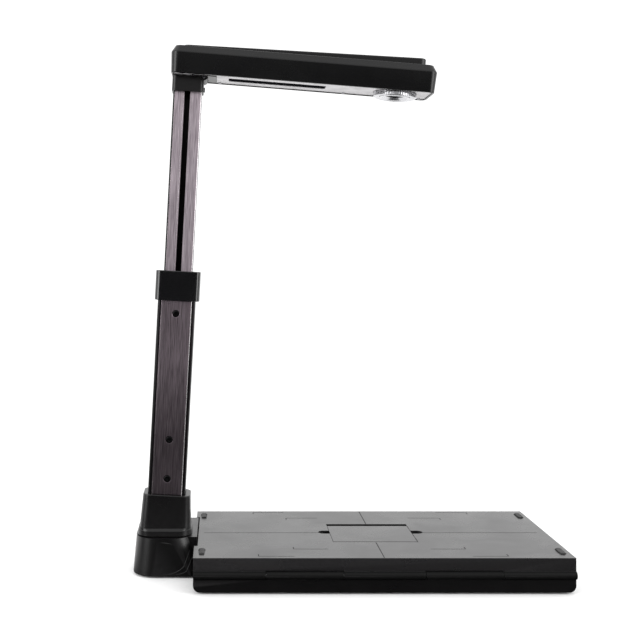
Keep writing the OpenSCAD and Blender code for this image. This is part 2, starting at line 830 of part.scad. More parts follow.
// The head's solid form, shrunk by a wall on every side
module head_form(wall) {
    low = wall == 0 ? head_low : head_low - 1;
    hull() {
        head_outline(head_draft + wall, low);
        head_outline(wall, head_side_h);
        head_outline(head_bevel_in + wall, head_h - eps - wall);
    }
}

head_boss_r = 3.4;
hinge_block_x = 17;

module head_shell() {
    color([0.1, 0.09, 0.1]) difference() {
        on_head() union() {
            difference() {
                head_form(0);
                head_form(head_wall);
            }
            // Solid end over the neck, which carries the hinge
            intersection() {
                head_form(0);
                translate([head_left, -head_d / 2, plate_t + plate_sink + head_low])
                    cube([hinge_block_x - head_left, head_d, 14]);
            }
            intersection() {
                head_form(0);
                translate([-hinge_block_x + 6, -neck_d / 2 - 3, head_low])
                    cube([2 * hinge_block_x - 12, neck_d + 6, 10]);
            }
            for (x = [head_screw_x[2], head_screw_x[3]])
                for (y = [-1, 1])
                    translate([x, y * head_screw_y, plate_t + plate_sink + head_low])
                        cylinder(r = head_boss_r, h = 16);
            for (x = [board_x + 5, board_x + board_len - 5])
                for (y = [-12, 14])
                    translate([x, y, board_z + board_t]) cylinder(r = 2.5, h = head_h - head_wall - board_z - board_t);
            for (x = [-14, 14])
                for (y = [-14, 14])
                    translate([lens_at + x, y, sensor_z + sensor_t])
                        cylinder(r = 2.2, h = head_h - head_wall - sensor_z - sensor_t);
            head_knuckle(hinge_r, 0);
        }
        on_head() neck_ears(hinge_r + hinge_gap, hinge_gap);
        on_head() translate([0, -neck_d / 2 - 2, 0]) rod_y(head_pin_r + pin_gap, neck_d + 4);
        on_head() for (x = head_screw_x)
            for (y = [-1, 1])
                translate([x, y * head_screw_y, 0]) cylinder(r = 0.9, h = 12);
        on_head() translate([port_x - port_w / 2 - port_gap, head_d / 2 - head_wall - 3, board_z + board_t])
            cube([port_w + 2 * port_gap, 12, port_h + port_gap]);
    }
}

// Circuit board, sensor board and port inside the head
board_x = 20;
sensor_w = 34;
board_len = lens_at - sensor_w / 2 - 36 - board_x;
board_z = 10.8;
board_t = 1.5;
sensor_z = -ring_out + 0.6 + barrel_len;
sensor_t = 1.4;
port_x = 40;
port_w = 9;
port_h = 3.2;
port_gap = 0.2;

// The lid rises from the neck end to the nose
lid_low_h = 1.8;
lid_edge = 1.4;

module head_lid() {
    lid_len = head_len - 2 * (lid_inset_x + head_bevel_in);
    lid_d = head_d - 2 * (lid_inset_y + head_bevel_in);
    wedge = atan((lid_rise - lid_low_h) / lid_len);
    color([0.12, 0.11, 0.12]) on_head()
        translate([(head_left + head_right) / 2, 0, head_h]) hull() {
            linear_extrude(0.1) round_rect(lid_len, lid_d, lid_corner_r, $fn = hull_fn);
            for (inset = [0, lid_edge])
                translate([-lid_len / 2, 0, lid_low_h - lid_edge + inset]) rotate([0, -wedge, 0])
                    translate([lid_len / 2, 0, 0]) linear_extrude(0.1)
                        round_rect(lid_len - 2 * inset, lid_d - 2 * inset, lid_corner_r - inset, $fn = hull_fn);
        }
}

module underside_plate() {
    inset = head_draft + head_wall + plate_gap;
    color([0.72, 0.71, 0.73]) on_head() difference() {
        translate([(head_left + head_right) / 2, 0, head_low + plate_sink])
            round_block(head_len - 2 * inset, head_d - 2 * inset, plate_t, head_corner_r - head_wall);
        translate([-hinge_block_x + 6 - plate_gap, -neck_d / 2 - 3 - plate_gap, -1])
            cube([2 * hinge_block_x - 12 + 2 * plate_gap, neck_d + 6 + 2 * plate_gap, 6]);
        translate([lamp_at, 0, -1]) round_block(lamp_len, lamp_w, 6, 2);
        translate([lens_at, 0, -1]) cylinder(r = ring_r + slide_gap, h = 6);
        for (x = head_screw_x)
            for (y = [-1, 1])
                translate([x, y * head_screw_y, -1]) cylinder(r = 1, h = 6);
    }
}

module led_window() {
    color([0.05, 0.05, 0.06]) on_head()
        translate([lamp_at, 0, head_low + plate_sink + 0.3])
            round_block(lamp_len - 0.3, lamp_w - 0.3, plate_t, 1.9);
}

module led_board() {
    leg = 2.5;
    rise = 4;
    board_l = lamp_len - 4;
    z = head_low + plate_sink + plate_t + rise;
    color([0.1, 0.35, 0.2]) on_head() {
        translate([lamp_at - board_l / 2, -lamp_w / 2 - leg, z]) cube([board_l, lamp_w + 2 * leg, 1.2]);
        for (y = [-lamp_w / 2 - leg, lamp_w / 2])
            translate([lamp_at - board_l / 2, y, z - rise]) cube([board_l, leg, rise]);
        for (i = [0:6])
            translate([lamp_at - lamp_len / 2 + 6 + i * (lamp_len - 15) / 6, -1.5, z - 0.8]) cube([3, 3, 0.8]);
    }
}

module lens_barrel() {
    color([0.05, 0.05, 0.05]) on_head() translate([lens_at, 0, -ring_out + 0.6]) difference() {
        union() {
            cylinder(r = barrel_r, h = barrel_len);
            translate([0, 0, ring_deep + ring_out - 0.6]) cylinder(r = barrel_r + 4, h = 3);
        }
        translate([0, 0, -1]) cylinder(r1 = glass_r + 3.4, r2 = glass_r, h = 3);
        translate([0, 0, 1]) cylinder(r = glass_r, h = 6);
        translate([0, 0, 6]) cylinder(r = glass_r - 3, h = barrel_len);
    }
}

ring_deep = 5;

module lens_glass() {
    color([0.1, 0.12, 0.2]) on_head() translate([lens_at, 0, -ring_out + 0.6 + 3]) intersection() {
        cylinder(r = glass_r, h = 4);
        translate([0, 0, 16]) sphere(r = 16, $fn = 64);
    }
}

module sensor_board() {
    color([0.1, 0.35, 0.2]) on_head()
        translate([lens_at - sensor_w / 2, -sensor_w / 2, sensor_z]) cube([sensor_w, sensor_w, sensor_t]);
}

module main_board() {
    color([0.1, 0.35, 0.2]) on_head()
        translate([board_x, -16, board_z]) cube([board_len, 34, board_t]);
}

module usb_port() {
    color([0.7, 0.7, 0.72]) on_head() difference() {
        translate([port_x - port_w / 2, head_d / 2 - 9.4, board_z + board_t]) cube([port_w, 8.4, port_h]);
        translate([port_x - port_w / 2 + 0.6, head_d / 2 - 7, board_z + board_t + 0.6])
            cube([port_w - 1.2, 10, port_h - 1.2]);
    }
}

module hinge_washers() {
    color([0.75, 0.7, 0.5]) on_head()
        for (y = [-neck_d / 2 + ear_w + 0.05, neck_d / 2 - ear_w - 0.35])
            translate([0, y, 0]) difference() {
                rod_y(2.8, 0.3);
                translate([0, -1, 0]) rod_y(head_pin_r + pin_gap, 3);
            }
}

module head_screws() {
    color([0.3, 0.3, 0.32]) on_head()
        for (x = head_screw_x)
            for (y = [-1, 1])
                translate([x, y * head_screw_y, head_low + plate_sink - 0.5]) {
                    cylinder(r = 1.7, h = 0.5);
                    cylinder(r = 0.9, h = 8);
                }
}

module focus_ring() {
    teeth = 60;
    flange_z = head_low + plate_sink + plate_t + slide_gap;
    color([0.8, 0.8, 0.82]) on_head() translate([lens_at, 0, -ring_out]) difference() {
        union() {
            cylinder(r1 = ring_r - 1.2, r2 = ring_r, h = 1.2);
            translate([0, 0, 1.2]) cylinder(r = ring_r, h = ring_deep + ring_out - 1.2 - slide_gap);
            translate([0, 0, flange_z + ring_out])
                cylinder(r = ring_r + ring_flange, h = ring_deep - slide_gap - flange_z);
        }
        translate([0, 0, -1]) cylinder(r = barrel_r + pin_gap, h = 20);
        translate([0, 0, -1]) cylinder(r1 = barrel_r + 4, r2 = barrel_r, h = 3);
        for (i = [0:teeth - 1])
            rotate([0, 0, i * 360 / teeth]) translate([ring_r, 0, -1])
                rotate([0, 0, 45]) translate([-0.45, -0.45, 0]) cube([0.9, 0.9, ring_out + 1.6]);
    }
}

lower_board_shell();
lower_board_cover();
ballast_plate();
board_feet();
cover_screws();
board_hinge_pin();
foot_housing();
foot_base_plate();
foot_pads();
foot_screws();
arm_screws();
leaf_shell();
leaf_cover();
corner_pads();
leaf_screws();
storage_flap();
flap_pins();
swivel_ring();
swivel_shaft();
shaft_screws();
swivel_washer();
swivel_nut();
mast_socket();
mast_spine();
lower_tube();
lower_front_panel();
spine_screws();
guide_screw();
collar();
collar_liner();
upper_tube();
glide_shoe();
neck_block();
neck_screw();
head_hinge_pin();
head_shell();
head_lid();
underside_plate();
led_window();
led_board();
lens_barrel();
lens_glass();
sensor_board();
main_board();
usb_port();
hinge_washers();
head_screws();
focus_ring();
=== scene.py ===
"""Looks of the folding book scanner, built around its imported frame."""

import json
import logging
import math
from collections.abc import Callable, Iterable, Sequence
from dataclasses import dataclass
from enum import Enum
from functools import cache, partial

import bmesh
import bpy
from mathutils import Matrix, Vector


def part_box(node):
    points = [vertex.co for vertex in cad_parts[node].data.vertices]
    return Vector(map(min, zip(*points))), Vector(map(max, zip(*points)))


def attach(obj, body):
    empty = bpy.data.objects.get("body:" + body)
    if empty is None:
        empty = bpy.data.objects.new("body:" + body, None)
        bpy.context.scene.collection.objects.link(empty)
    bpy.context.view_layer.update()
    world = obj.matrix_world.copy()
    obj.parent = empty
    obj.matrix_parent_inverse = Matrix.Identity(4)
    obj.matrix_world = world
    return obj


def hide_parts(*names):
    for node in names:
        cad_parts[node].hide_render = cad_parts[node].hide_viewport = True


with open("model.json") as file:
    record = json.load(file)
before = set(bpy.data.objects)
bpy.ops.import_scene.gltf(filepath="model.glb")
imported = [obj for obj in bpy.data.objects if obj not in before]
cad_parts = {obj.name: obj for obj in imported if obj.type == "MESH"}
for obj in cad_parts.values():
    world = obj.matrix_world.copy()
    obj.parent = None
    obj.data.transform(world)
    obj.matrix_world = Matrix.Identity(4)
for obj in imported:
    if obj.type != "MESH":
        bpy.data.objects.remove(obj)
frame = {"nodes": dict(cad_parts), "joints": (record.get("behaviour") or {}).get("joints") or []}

log = logging.getLogger("book_scanner")

MM = 0.001
CREASE = 32.0
FLAT = 0.6
SAME_POINT = 0.002 * MM
RIM_STEPS = 4
BEVEL_STEPS = 3
TOOTH_STEPS = 4
NOISE_ENDS = (0.3, 0.7)
RANGE_SOCKETS = ("From Min", "From Max", "To Min", "To Max")
MIX_COLOUR = 2

Colour = tuple[float, float, float]
Point = tuple[float, float]
Level = tuple[float, float, float, float]
Node = bpy.types.Node
Tree = bpy.types.NodeTree
Material = bpy.types.Material
Piece = bpy.types.Object
BMesh = bmesh.types.BMesh


# ---- Frames the pieces are built in ----


class Axis(Enum):
    """Directions used when a local frame is read from a joint."""

    ACROSS = Vector((0.0, 1.0, 0.0))
    UP = Vector((0.0, 0.0, 1.0))


@dataclass
class LocalFrame:
    """A frame that leans with part of the scanner.

    Its Y axis is always the row's own Y, because everything leans in one plane.
    """

    origin: Vector
    up: Vector

    @property
    def matrix(self) -> Matrix:
        """The frame's place in the row, as a 4x4 matrix."""
        z = self.up.normalized()
        x = Axis.ACROSS.value.cross(z).normalized()
        y = z.cross(x)
        rotation = Matrix((x, y, z)).transposed().to_4x4()
        return Matrix.Translation(self.origin) @ rotation

    @property
    def lean(self) -> float:
        """How far the frame's Z leans towards +X, in radians."""
        return math.atan2(self.up.x, self.up.z)

    def points(self, node: str) -> list[Vector]:
        """The corners of a CAD node's mesh, in this frame."""
        inverse = self.matrix.inverted()
        return [inverse @ v.co for v in frame["nodes"][node].data.vertices]

    def box(self, node: str) -> tuple[Vector, Vector]:
        """Measures a CAD node along this frame's own axes.

        Args:
            node: Name of the CAD node.

        Returns:
            The lowest and the highest corner, in this frame, in metres.
        """
        columns = list(zip(*self.points(node)))
        return Vector([min(c) for c in columns]), Vector([max(c) for c in columns])


def joint(name: str) -> dict:
    """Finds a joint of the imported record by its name."""
    return next(j for j in frame["joints"] if j["name"] == name)


def board_frame() -> LocalFrame:
    """The board's frame: on the hinge line of its front edge, at desk height."""
    hinge = Vector(joint("leaf_fold")["pos_m"])
    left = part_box("leaf_shell")[0].x
    return LocalFrame(Vector((left, hinge.y, 0.0)), Axis.UP.value)


def mast_frame() -> LocalFrame:
    """The leaning mast's frame, on the swivel axis at the foot."""
    return LocalFrame(Vector(joint("mast_swivel")["pos_m"]), Vector(joint("mast_slide")["axis"]))


def head_frame() -> LocalFrame:
    """The sloping head's frame, on the axis of its hinge."""
    return LocalFrame(Vector(joint("head_fold")["pos_m"]), Vector(joint("focus_ring_turn")["axis"]))


# ---- Shader effects shared by the finishes ----


class Net:
    """A thin hand on a node tree: adds nodes and joins their sockets."""

    def __init__(self, tree: Tree) -> None:
        """Takes the tree that the nodes go into."""
        self.tree = tree

    def add(self, kind: str, **settings: object) -> Node:
        """Adds a node.

        Args:
            kind: Blender's node type.
            settings: Attributes set on the node.

        Returns:
            The new node.
        """
        node = self.tree.nodes.new(kind)
        for key, value in settings.items():
            setattr(node, key, value)
        return node

    def group(self, tree: Tree, **values: float) -> Node:
        """Places a node group.

        Args:
            tree: The group.
            values: Values of its inputs.

        Returns:
            The group's node.
        """
        node = self.add("ShaderNodeGroup", node_tree=tree)
        for key, value in values.items():
            node.inputs[key].default_value = value
        return node

    def join(self, source: Node, out: str | int, target: Node, into: str | int) -> None:
        """Links one socket to another."""
        self.tree.links.new(source.outputs[out], target.inputs[into])

    def texture(self, kind: str, entry: Node, scale: str) -> Node:
        """Adds a texture on the object's own coordinates, with its scale from a group's input."""
        node = self.add(kind)
        self.join(self.add("ShaderNodeTexCoord"), "Object", node, "Vector")
        self.join(entry, scale, node, "Scale")
        return node

    def axes(self, coordinates: str) -> Node:
        """Splits a kind of coordinates into X, Y and Z."""
        parts = self.add("ShaderNodeSeparateXYZ")
        self.join(self.add("ShaderNodeTexCoord"), coordinates, parts, 0)
        return parts

    def ramp(self, source: Node, out: str, ends: Sequence[float], kind: str = "LINEAR") -> Node:
        """Maps a value from one range to another.

        Args:
            source: Node that gives the value.
            out: Its output.
            ends: Low and high end of the first range, then of the second.
            kind: Blender's name for the way between the ends.

        Returns:
            The Map Range node.
        """
        node = self.add("ShaderNodeMapRange", interpolation_type=kind)
        for key, value in zip(RANGE_SOCKETS, ends):
            node.inputs[key].default_value = value
        self.join(source, out, node, "Value")
        return node

    def span(self, source: Node, out: str, low: float, high: float) -> Node:
        """Maps a noise from its usual dark and bright ends to two values."""
        return self.ramp(source, out, (*NOISE_ENDS, low, high))

    def blend(self, mask: Node, out: str, first: Colour, second: Colour) -> Node:
        """Mixes two colours by a mask.

        Args:
            mask: Node that gives the mask.
            out: Its output.
            first: Colour where the mask is 0.
            second: Colour where it is 1.

        Returns:
            The Mix node, whose colour is its output MIX_COLOUR.
        """
        node = self.add("ShaderNodeMix", data_type="RGBA")
        node.inputs[6].default_value = (*first, 1.0)
        node.inputs[7].default_value = (*second, 1.0)
        self.join(mask, out, node, 0)
        return node

    def in_mirrors(self, plain: float, mirrored: Node) -> Node:
        """Takes a plain value for direct rays and a node's result for reflections."""
        node = self.add("ShaderNodeMix", data_type="FLOAT")
        self.join(self.add("ShaderNodeLightPath"), "Is Glossy Ray", node, 0)
        node.inputs[2].default_value = plain
        self.join(mirrored, "Result", node, 3)
        return node


class Effects:
    """Shader node groups, each built once and used by several finishes."""

    @staticmethod
    def _new(name: str, inputs: dict[str, float], outputs: Sequence[str]) -> tuple[Tree, Net, Node, Node]:
        """Makes a group with float sockets.

        Args:
            name: Name of the group.
            inputs: Names of its inputs, with their values.
            outputs: Names of its outputs.

        Returns:
            The group, its net, the node that brings its inputs and the one that takes its outputs.
        """
        tree = bpy.data.node_groups.new(name, "ShaderNodeTree")
        for label, value in inputs.items():
            socket = tree.interface.new_socket(label, in_out="INPUT", socket_type="NodeSocketFloat")
            socket.default_value = value
        for label in outputs:
            tree.interface.new_socket(label, in_out="OUTPUT", socket_type="NodeSocketFloat")
        net = Net(tree)
        return tree, net, net.add("NodeGroupInput"), net.add("NodeGroupOutput")

    @staticmethod
    @cache
    def grain() -> Tree:
        """Fine spark-eroded texture of moulded plastic: Height."""
        inputs = {"Scale": 2200.0, "Detail": 3.0, "Cells": 0.5}
        tree, net, entry, leave = Effects._new("moulded_grain", inputs, ("Height",))
        noise = net.texture("ShaderNodeTexNoise", entry, "Scale")
        net.join(entry, "Detail", noise, "Detail")
        cells = net.texture("ShaderNodeTexVoronoi", entry, "Scale")
        mix = net.add("ShaderNodeMath", operation="MULTIPLY_ADD")
        net.join(cells, "Distance", mix, 0)
        net.join(entry, "Cells", mix, 1)
        net.join(noise, "Fac", mix, 2)
        net.join(mix, "Value", leave, "Height")
        return tree

    @staticmethod
    @cache
    def brush() -> Tree:
        """Long fine scratches along the local Z of a leaning part: Value and Height."""
        inputs = {"Lean": 0.0, "Fineness": 4200.0, "Length": 40.0, "Detail": 3.0, "Roughness": 0.65}
        tree, net, entry, leave = Effects._new("brushed_lines", inputs, ("Value", "Height"))
        turn = net.add("ShaderNodeVectorRotate", rotation_type="Y_AXIS")
        net.join(net.add("ShaderNodeTexCoord"), "Object", turn, "Vector")
        net.join(entry, "Lean", turn, "Angle")
        parts = net.add("ShaderNodeSeparateXYZ")
        net.join(turn, "Vector", parts, 0)
        vector = net.add("ShaderNodeCombineXYZ")
        for axis, share in (("X", "Fineness"), ("Y", "Fineness"), ("Z", "Length")):
            product = net.add("ShaderNodeMath", operation="MULTIPLY")
            net.join(parts, axis, product, 0)
            net.join(entry, share, product, 1)
            net.join(product, "Value", vector, axis)
        noise = net.add("ShaderNodeTexNoise")
        noise.inputs["Scale"].default_value = 1.0
        for key in ("Detail", "Roughness"):
            net.join(entry, key, noise, key)
        net.join(vector, "Vector", noise, "Vector")
        for key in ("Value", "Height"):
            net.join(noise, "Fac", leave, key)
        return tree

    @staticmethod
    @cache
    def smudge() -> Tree:
        """Broad soft patches, as handling leaves them: Value."""
        inputs = {"Scale": 28.0, "Detail": 4.0, "Distortion": 0.6}
        tree, net, entry, leave = Effects._new("handling_smudge", inputs, ("Value",))
        noise = net.texture("ShaderNodeTexNoise", entry, "Scale")
        for key in ("Detail", "Distortion"):
            net.join(entry, key, noise, key)
        net.join(noise, "Fac", leave, "Value")
        return tree

    @staticmethod
    @cache
    def fade() -> Tree:
        """A slow change from 0 at a piece's foot to 1 at its top, which the brushed finish uses to paint
        shade towards the foot: Value.
        """
        tree, net, entry, leave = Effects._new("foot_shade_fade", {"Bias": 0.0}, ("Value",))
        total = net.add("ShaderNodeMath", operation="ADD", use_clamp=True)
        net.join(net.axes("Generated"), "Z", total, 0)
        net.join(entry, "Bias", total, 1)
        net.join(total, "Value", leave, "Value")
        return tree

    @staticmethod
    @cache
    def edge_wear() -> Tree:
        """A mask that is 1 on convex edges, broken up by a fine noise: Mask."""
        inputs = {"From": 0.53, "To": 0.62, "Break-up": 400.0}
        tree, net, entry, leave = Effects._new("edge_wear", inputs, ("Mask",))
        span = net.add("ShaderNodeMapRange")
        net.join(net.add("ShaderNodeNewGeometry"), "Pointiness", span, "Value")
        net.join(entry, "From", span, "From Min")
        net.join(entry, "To", span, "From Max")
        noise = net.texture("ShaderNodeTexNoise", entry, "Break-up")
        product = net.add("ShaderNodeMath", operation="MULTIPLY")
        net.join(span, "Result", product, 0)
        net.join(noise, "Fac", product, 1)
        net.join(product, "Value", leave, "Mask")
        return tree


# ---- Finishes ----


@dataclass(frozen=True)
class Finish:
    """What every finish has: a name, a base colour and its roughness."""

    name: str
    colour: Colour
    rough: float = 0.4

    def start(self) -> tuple[Material, Net, Node]:
        """Makes the material with its Principled shader.

        Returns:
            The material, its net and the shader node.
        """
        material = bpy.data.materials.new(self.name)
        material.use_nodes = True
        material.node_tree.nodes.clear()
        net = Net(material.node_tree)
        shader = net.add("ShaderNodeBsdfPrincipled")
        net.join(shader, "BSDF", net.add("ShaderNodeOutputMaterial"), "Surface")
        shader.inputs["Base Color"].default_value = (*self.colour, 1.0)
        shader.inputs["Roughness"].default_value = self.rough
        return material, net, shader

    def smudged(self, net: Net, shader: Node, scale: float, less: float, more: float) -> Node:
        """Lets the roughness wander with handling smudges.

        Args:
            net: The material's net.
            shader: Its shader.
            scale: Fineness of the smudges.
            less: How far the roughness goes below its middle value.
            more: How far it goes above.

        Returns:
            The smudge group's node.
        """
        smudge = net.group(Effects.smudge(), Scale=scale)
        rough = net.span(smudge, "Value", self.rough - less, self.rough + more)
        net.join(rough, "Result", shader, "Roughness")
        return smudge

    def toned(self, net: Net, shader: Node, source: Node, other: Colour) -> None:
        """Mottles the base colour with another one by a group's Value."""
        tone = net.span(source, "Value", 0.0, 1.0)
        colour = net.blend(tone, "Result", self.colour, other)
        net.join(colour, MIX_COLOUR, shader, "Base Color")

    def bump(self, net: Net, shader: Node, source: Node, depth: float, strength: float) -> None:
        """Feeds a height through a Bump node into the shader's normal."""
        node = net.add("ShaderNodeBump")
        node.inputs["Strength"].default_value = strength
        node.inputs["Distance"].default_value = depth
        net.join(source, "Height", node, "Height")
        net.join(node, "Normal", shader, "Normal")

    def make(self) -> Material:
        """Builds the material."""
        raise NotImplementedError


@dataclass(frozen=True)
class Moulded(Finish):
    """Injection-moulded plastic with a fine grain, smudges and paler worn edges."""

    grain: float = 2200.0
    depth: float = 0.02 * MM
    strength: float = 0.35
    wear: Colour = (0.02, 0.019, 0.02)
    specular: float = 0.5
    coat: float = 0.0
    smudges: tuple[float, float, float] = (22.0, 0.04, 0.05)

    def make(self) -> Material:
        """Builds the material."""
        material, net, shader = self.start()
        colour = net.blend(net.group(Effects.edge_wear()), "Mask", self.colour, self.wear)
        net.join(colour, MIX_COLOUR, shader, "Base Color")
        self.smudged(net, shader, *self.smudges)
        self.bump(net, shader, net.group(Effects.grain(), Scale=self.grain), self.depth, self.strength)
        shader.inputs["Specular IOR Level"].default_value = self.specular
        shader.inputs["Coat Weight"].default_value = self.coat
        return material


@dataclass(frozen=True)
class Brushed(Finish):
    """Brushed and anodised aluminium with scratches along the mast, and a painted shade that darkens it
    towards its foot when foot is below 1.
    """

    lean: float = 0.0
    light: Colour = (0.4, 0.36, 0.38)
    metallic: float = 0.85
    fineness: float = 1900.0
    length: float = 45.0
    # foot: share of the colour left at the piece's bottom; below 1 it is a painted shade, darker towards the
    # bottom.
    foot: float = 1.0
    depth: float = 0.03 * MM
    strength: float = 0.5
    anisotropic: float = 0.5
    smudges: tuple[float, float, float] = (14.0, 0.05, 0.06)

    def make(self) -> Material:
        """Builds the material."""
        material, net, shader = self.start()
        lines = net.group(Effects.brush(), Lean=-self.lean, Fineness=self.fineness, Length=self.length)
        contrast = net.span(lines, "Value", 0.0, 1.0)
        colour = net.blend(contrast, "Result", self.colour, self.light)
        # Painted shade: the colour is scaled down from the top towards the foot.
        height = net.span(net.group(Effects.fade()), "Value", self.foot, 1.0)
        shaded_colour = net.add("ShaderNodeVectorMath", operation="SCALE")
        net.join(colour, MIX_COLOUR, shaded_colour, 0)
        net.join(height, "Result", shaded_colour, "Scale")
        net.join(shaded_colour, "Vector", shader, "Base Color")
        self.smudged(net, shader, *self.smudges)
        self.bump(net, shader, lines, self.depth, self.strength)
        shader.inputs["Metallic"].default_value = self.metallic
        shader.inputs["Anisotropic"].default_value = self.anisotropic
        return material


@dataclass(frozen=True)
class Metal(Finish):
    """Turned, plated or plain metal with faint mottling."""

    mottle: float = 0.08
    metallic: float = 1.0
    shade: float = 0.82
    grain: float = 1500.0
    depth: float = 0.01 * MM
    strength: float = 0.2
    patches: float = 60.0

    def make(self) -> Material:
        """Builds the material."""
        material, net, shader = self.start()
        smudge = self.smudged(net, shader, self.patches, self.mottle / 2, self.mottle)
        self.toned(net, shader, smudge, tuple(c * self.shade for c in self.colour))
        self.bump(net, shader, net.group(Effects.grain(), Scale=self.grain), self.depth, self.strength)
        shader.inputs["Metallic"].default_value = self.metallic
        return material


@dataclass(frozen=True)
class Rubber(Finish):
    """Dull rubber with a dusty bloom."""

    bloom: Colour = (0.05, 0.05, 0.05)
    patches: float = 120.0
    grain: float = 1800.0
    depth: float = 0.04 * MM
    strength: float = 0.5
    specular: float = 0.3

    def make(self) -> Material:
        """Builds the material."""
        material, net, shader = self.start()
        self.toned(net, shader, net.group(Effects.smudge(), Scale=self.patches), self.bloom)
        self.bump(net, shader, net.group(Effects.grain(), Scale=self.grain), self.depth, self.strength)
        shader.inputs["Specular IOR Level"].default_value = self.specular
        return material


@dataclass(frozen=True)
class Circuit(Finish):
    """Solder-masked board with darker copper runs."""

    runs: Colour = (0.01, 0.09, 0.04)
    tracks: float = 180.0
    smudges: tuple[float, float, float] = (80.0, 0.05, 0.1)

    def make(self) -> Material:
        """Builds the material."""
        material, net, shader = self.start()
        tiles = net.add("ShaderNodeTexBrick")
        tiles.inputs["Scale"].default_value = self.tracks
        for key, colour in (("Color1", self.colour), ("Color2", self.runs), ("Mortar", self.runs)):
            tiles.inputs[key].default_value = (*colour, 1.0)
        net.join(net.add("ShaderNodeTexCoord"), "Object", tiles, "Vector")
        net.join(tiles, "Color", shader, "Base Color")
        self.smudged(net, shader, *self.smudges)
        return material


@dataclass(frozen=True)
class Glass(Finish):
    """Coated lens glass."""

    ior: float = 1.6
    clear: float = 0.85
    coat: float = 0.6
    smudges: tuple[float, float, float] = (160.0, 0.0, 0.03)

    def make(self) -> Material:
        """Builds the material."""
        material, net, shader = self.start()
        self.smudged(net, shader, *self.smudges)
        shader.inputs["Transmission Weight"].default_value = self.clear
        shader.inputs["IOR"].default_value = self.ior
        shader.inputs["Coat Weight"].default_value = self.coat
        return material


class Finishes:
    """Every finish of the scanner, made once."""

    def __init__(self, lean: float) -> None:
        """Builds the materials.

        Args:
            lean: Lean of the mast in radians, which its brushing follows.
        """
        along = partial(Brushed, lean=lean)
        plans: dict[str, Finish] = {
            "satin": Moulded("satin_black_plastic", (0.0025, 0.0023, 0.0025), 0.3, specular=0.36),
            "board": Moulded("board_top_plastic", (0.008, 0.0075, 0.008), 0.27, grain=1600.0, specular=0.75),
            "dull": Moulded("dull_black_plastic", (0.002, 0.002, 0.002), 0.55, specular=0.13),
            "sleek": Moulded("smooth_black_plastic", (0.002, 0.002, 0.0022), 0.26, strength=0.12,
                             specular=0.34),
            "gloss": Moulded("gloss_black_plastic", (0.003, 0.003, 0.0035), 0.16, strength=0.06, coat=0.3),
            "print": Moulded("size_mark_print", (0.006, 0.006, 0.006), 0.75, specular=0.1),
            # Near-black painted shadow for the gaps round the hinge knuckles.
            "seam": Moulded("shadow_seam", (0.001, 0.001, 0.001), 0.9, specular=0.02),
            "white": Moulded("glide_plastic", (0.72, 0.71, 0.68), 0.4, wear=(0.8, 0.8, 0.78)),
            "brushed": along("brushed_mauve", (0.18, 0.15, 0.17), 0.42, light=(0.6, 0.52, 0.57)),
            # The panel's foot=0.45 paints shade on it, darker towards its bottom.
            "panel": along("brushed_panel", (0.1, 0.08, 0.092), 0.3, light=(0.4, 0.33, 0.37), foot=0.45),
            # Black finish of the tube sides, also used as painted shade on the upper tube's inner faces.
            "side": along("dark_tube_side", (0.005, 0.0045, 0.005), 0.3, light=(0.013, 0.012, 0.013)),
            "bright": along("polished_bevel", (0.7, 0.66, 0.68), 0.2, light=(0.85, 0.82, 0.83)),
            "plate": Metal("silver_plate", (0.5, 0.49, 0.5), 0.4, metallic=0.4),
            "ring": Metal("turned_aluminium", (0.66, 0.66, 0.68), 0.2),
            "steel": Metal("plain_steel", (0.5, 0.5, 0.52), 0.32),
            "brass": Metal("spring_brass", (0.7, 0.55, 0.28), 0.3),
            "oxide": Metal("black_oxide", (0.004, 0.004, 0.0045), 0.22, metallic=0.6),
            "rubber": Rubber("black_rubber", (0.015, 0.015, 0.015), 0.75),
            "pad": Rubber("smooth_rubber", (0.008, 0.008, 0.008), 0.6),
            "circuit": Circuit("circuit_board", (0.02, 0.16, 0.07), 0.4),
            "window": Moulded("smoked_window", (0.004, 0.004, 0.005), 0.7, strength=0.05, specular=0.0),
            "glass": Glass("lens_glass", (0.2, 0.24, 0.4), 0.02),
        }
        self._made = {key: plan.make() for key, plan in plans.items()}

    def __getitem__(self, key: str) -> Material:
        """The material with that key."""
        return self._made[key]


# ---- Mesh making ----


def rounded_outline(width: float, depth: float, radius: float, steps: int) -> list[Point]:
    """Points of a rounded rectangle round the origin, anticlockwise.

    Args:
        width: Size along X.
        depth: Size along Y.
        radius: Radius of the corners.
        steps: Segments in each corner.

    Returns:
        The outline's points.
    """
    points = []
    for sx, sy, start in ((1, 1, 0), (-1, 1, 90), (-1, -1, 180), (1, -1, 270)):
        cx, cy = sx * (width / 2 - radius), sy * (depth / 2 - radius)
        for i in range(steps + 1):
            a = math.radians(start + 90 * i / steps)
            points.append((cx + radius * math.cos(a), cy + radius * math.sin(a)))
    return points


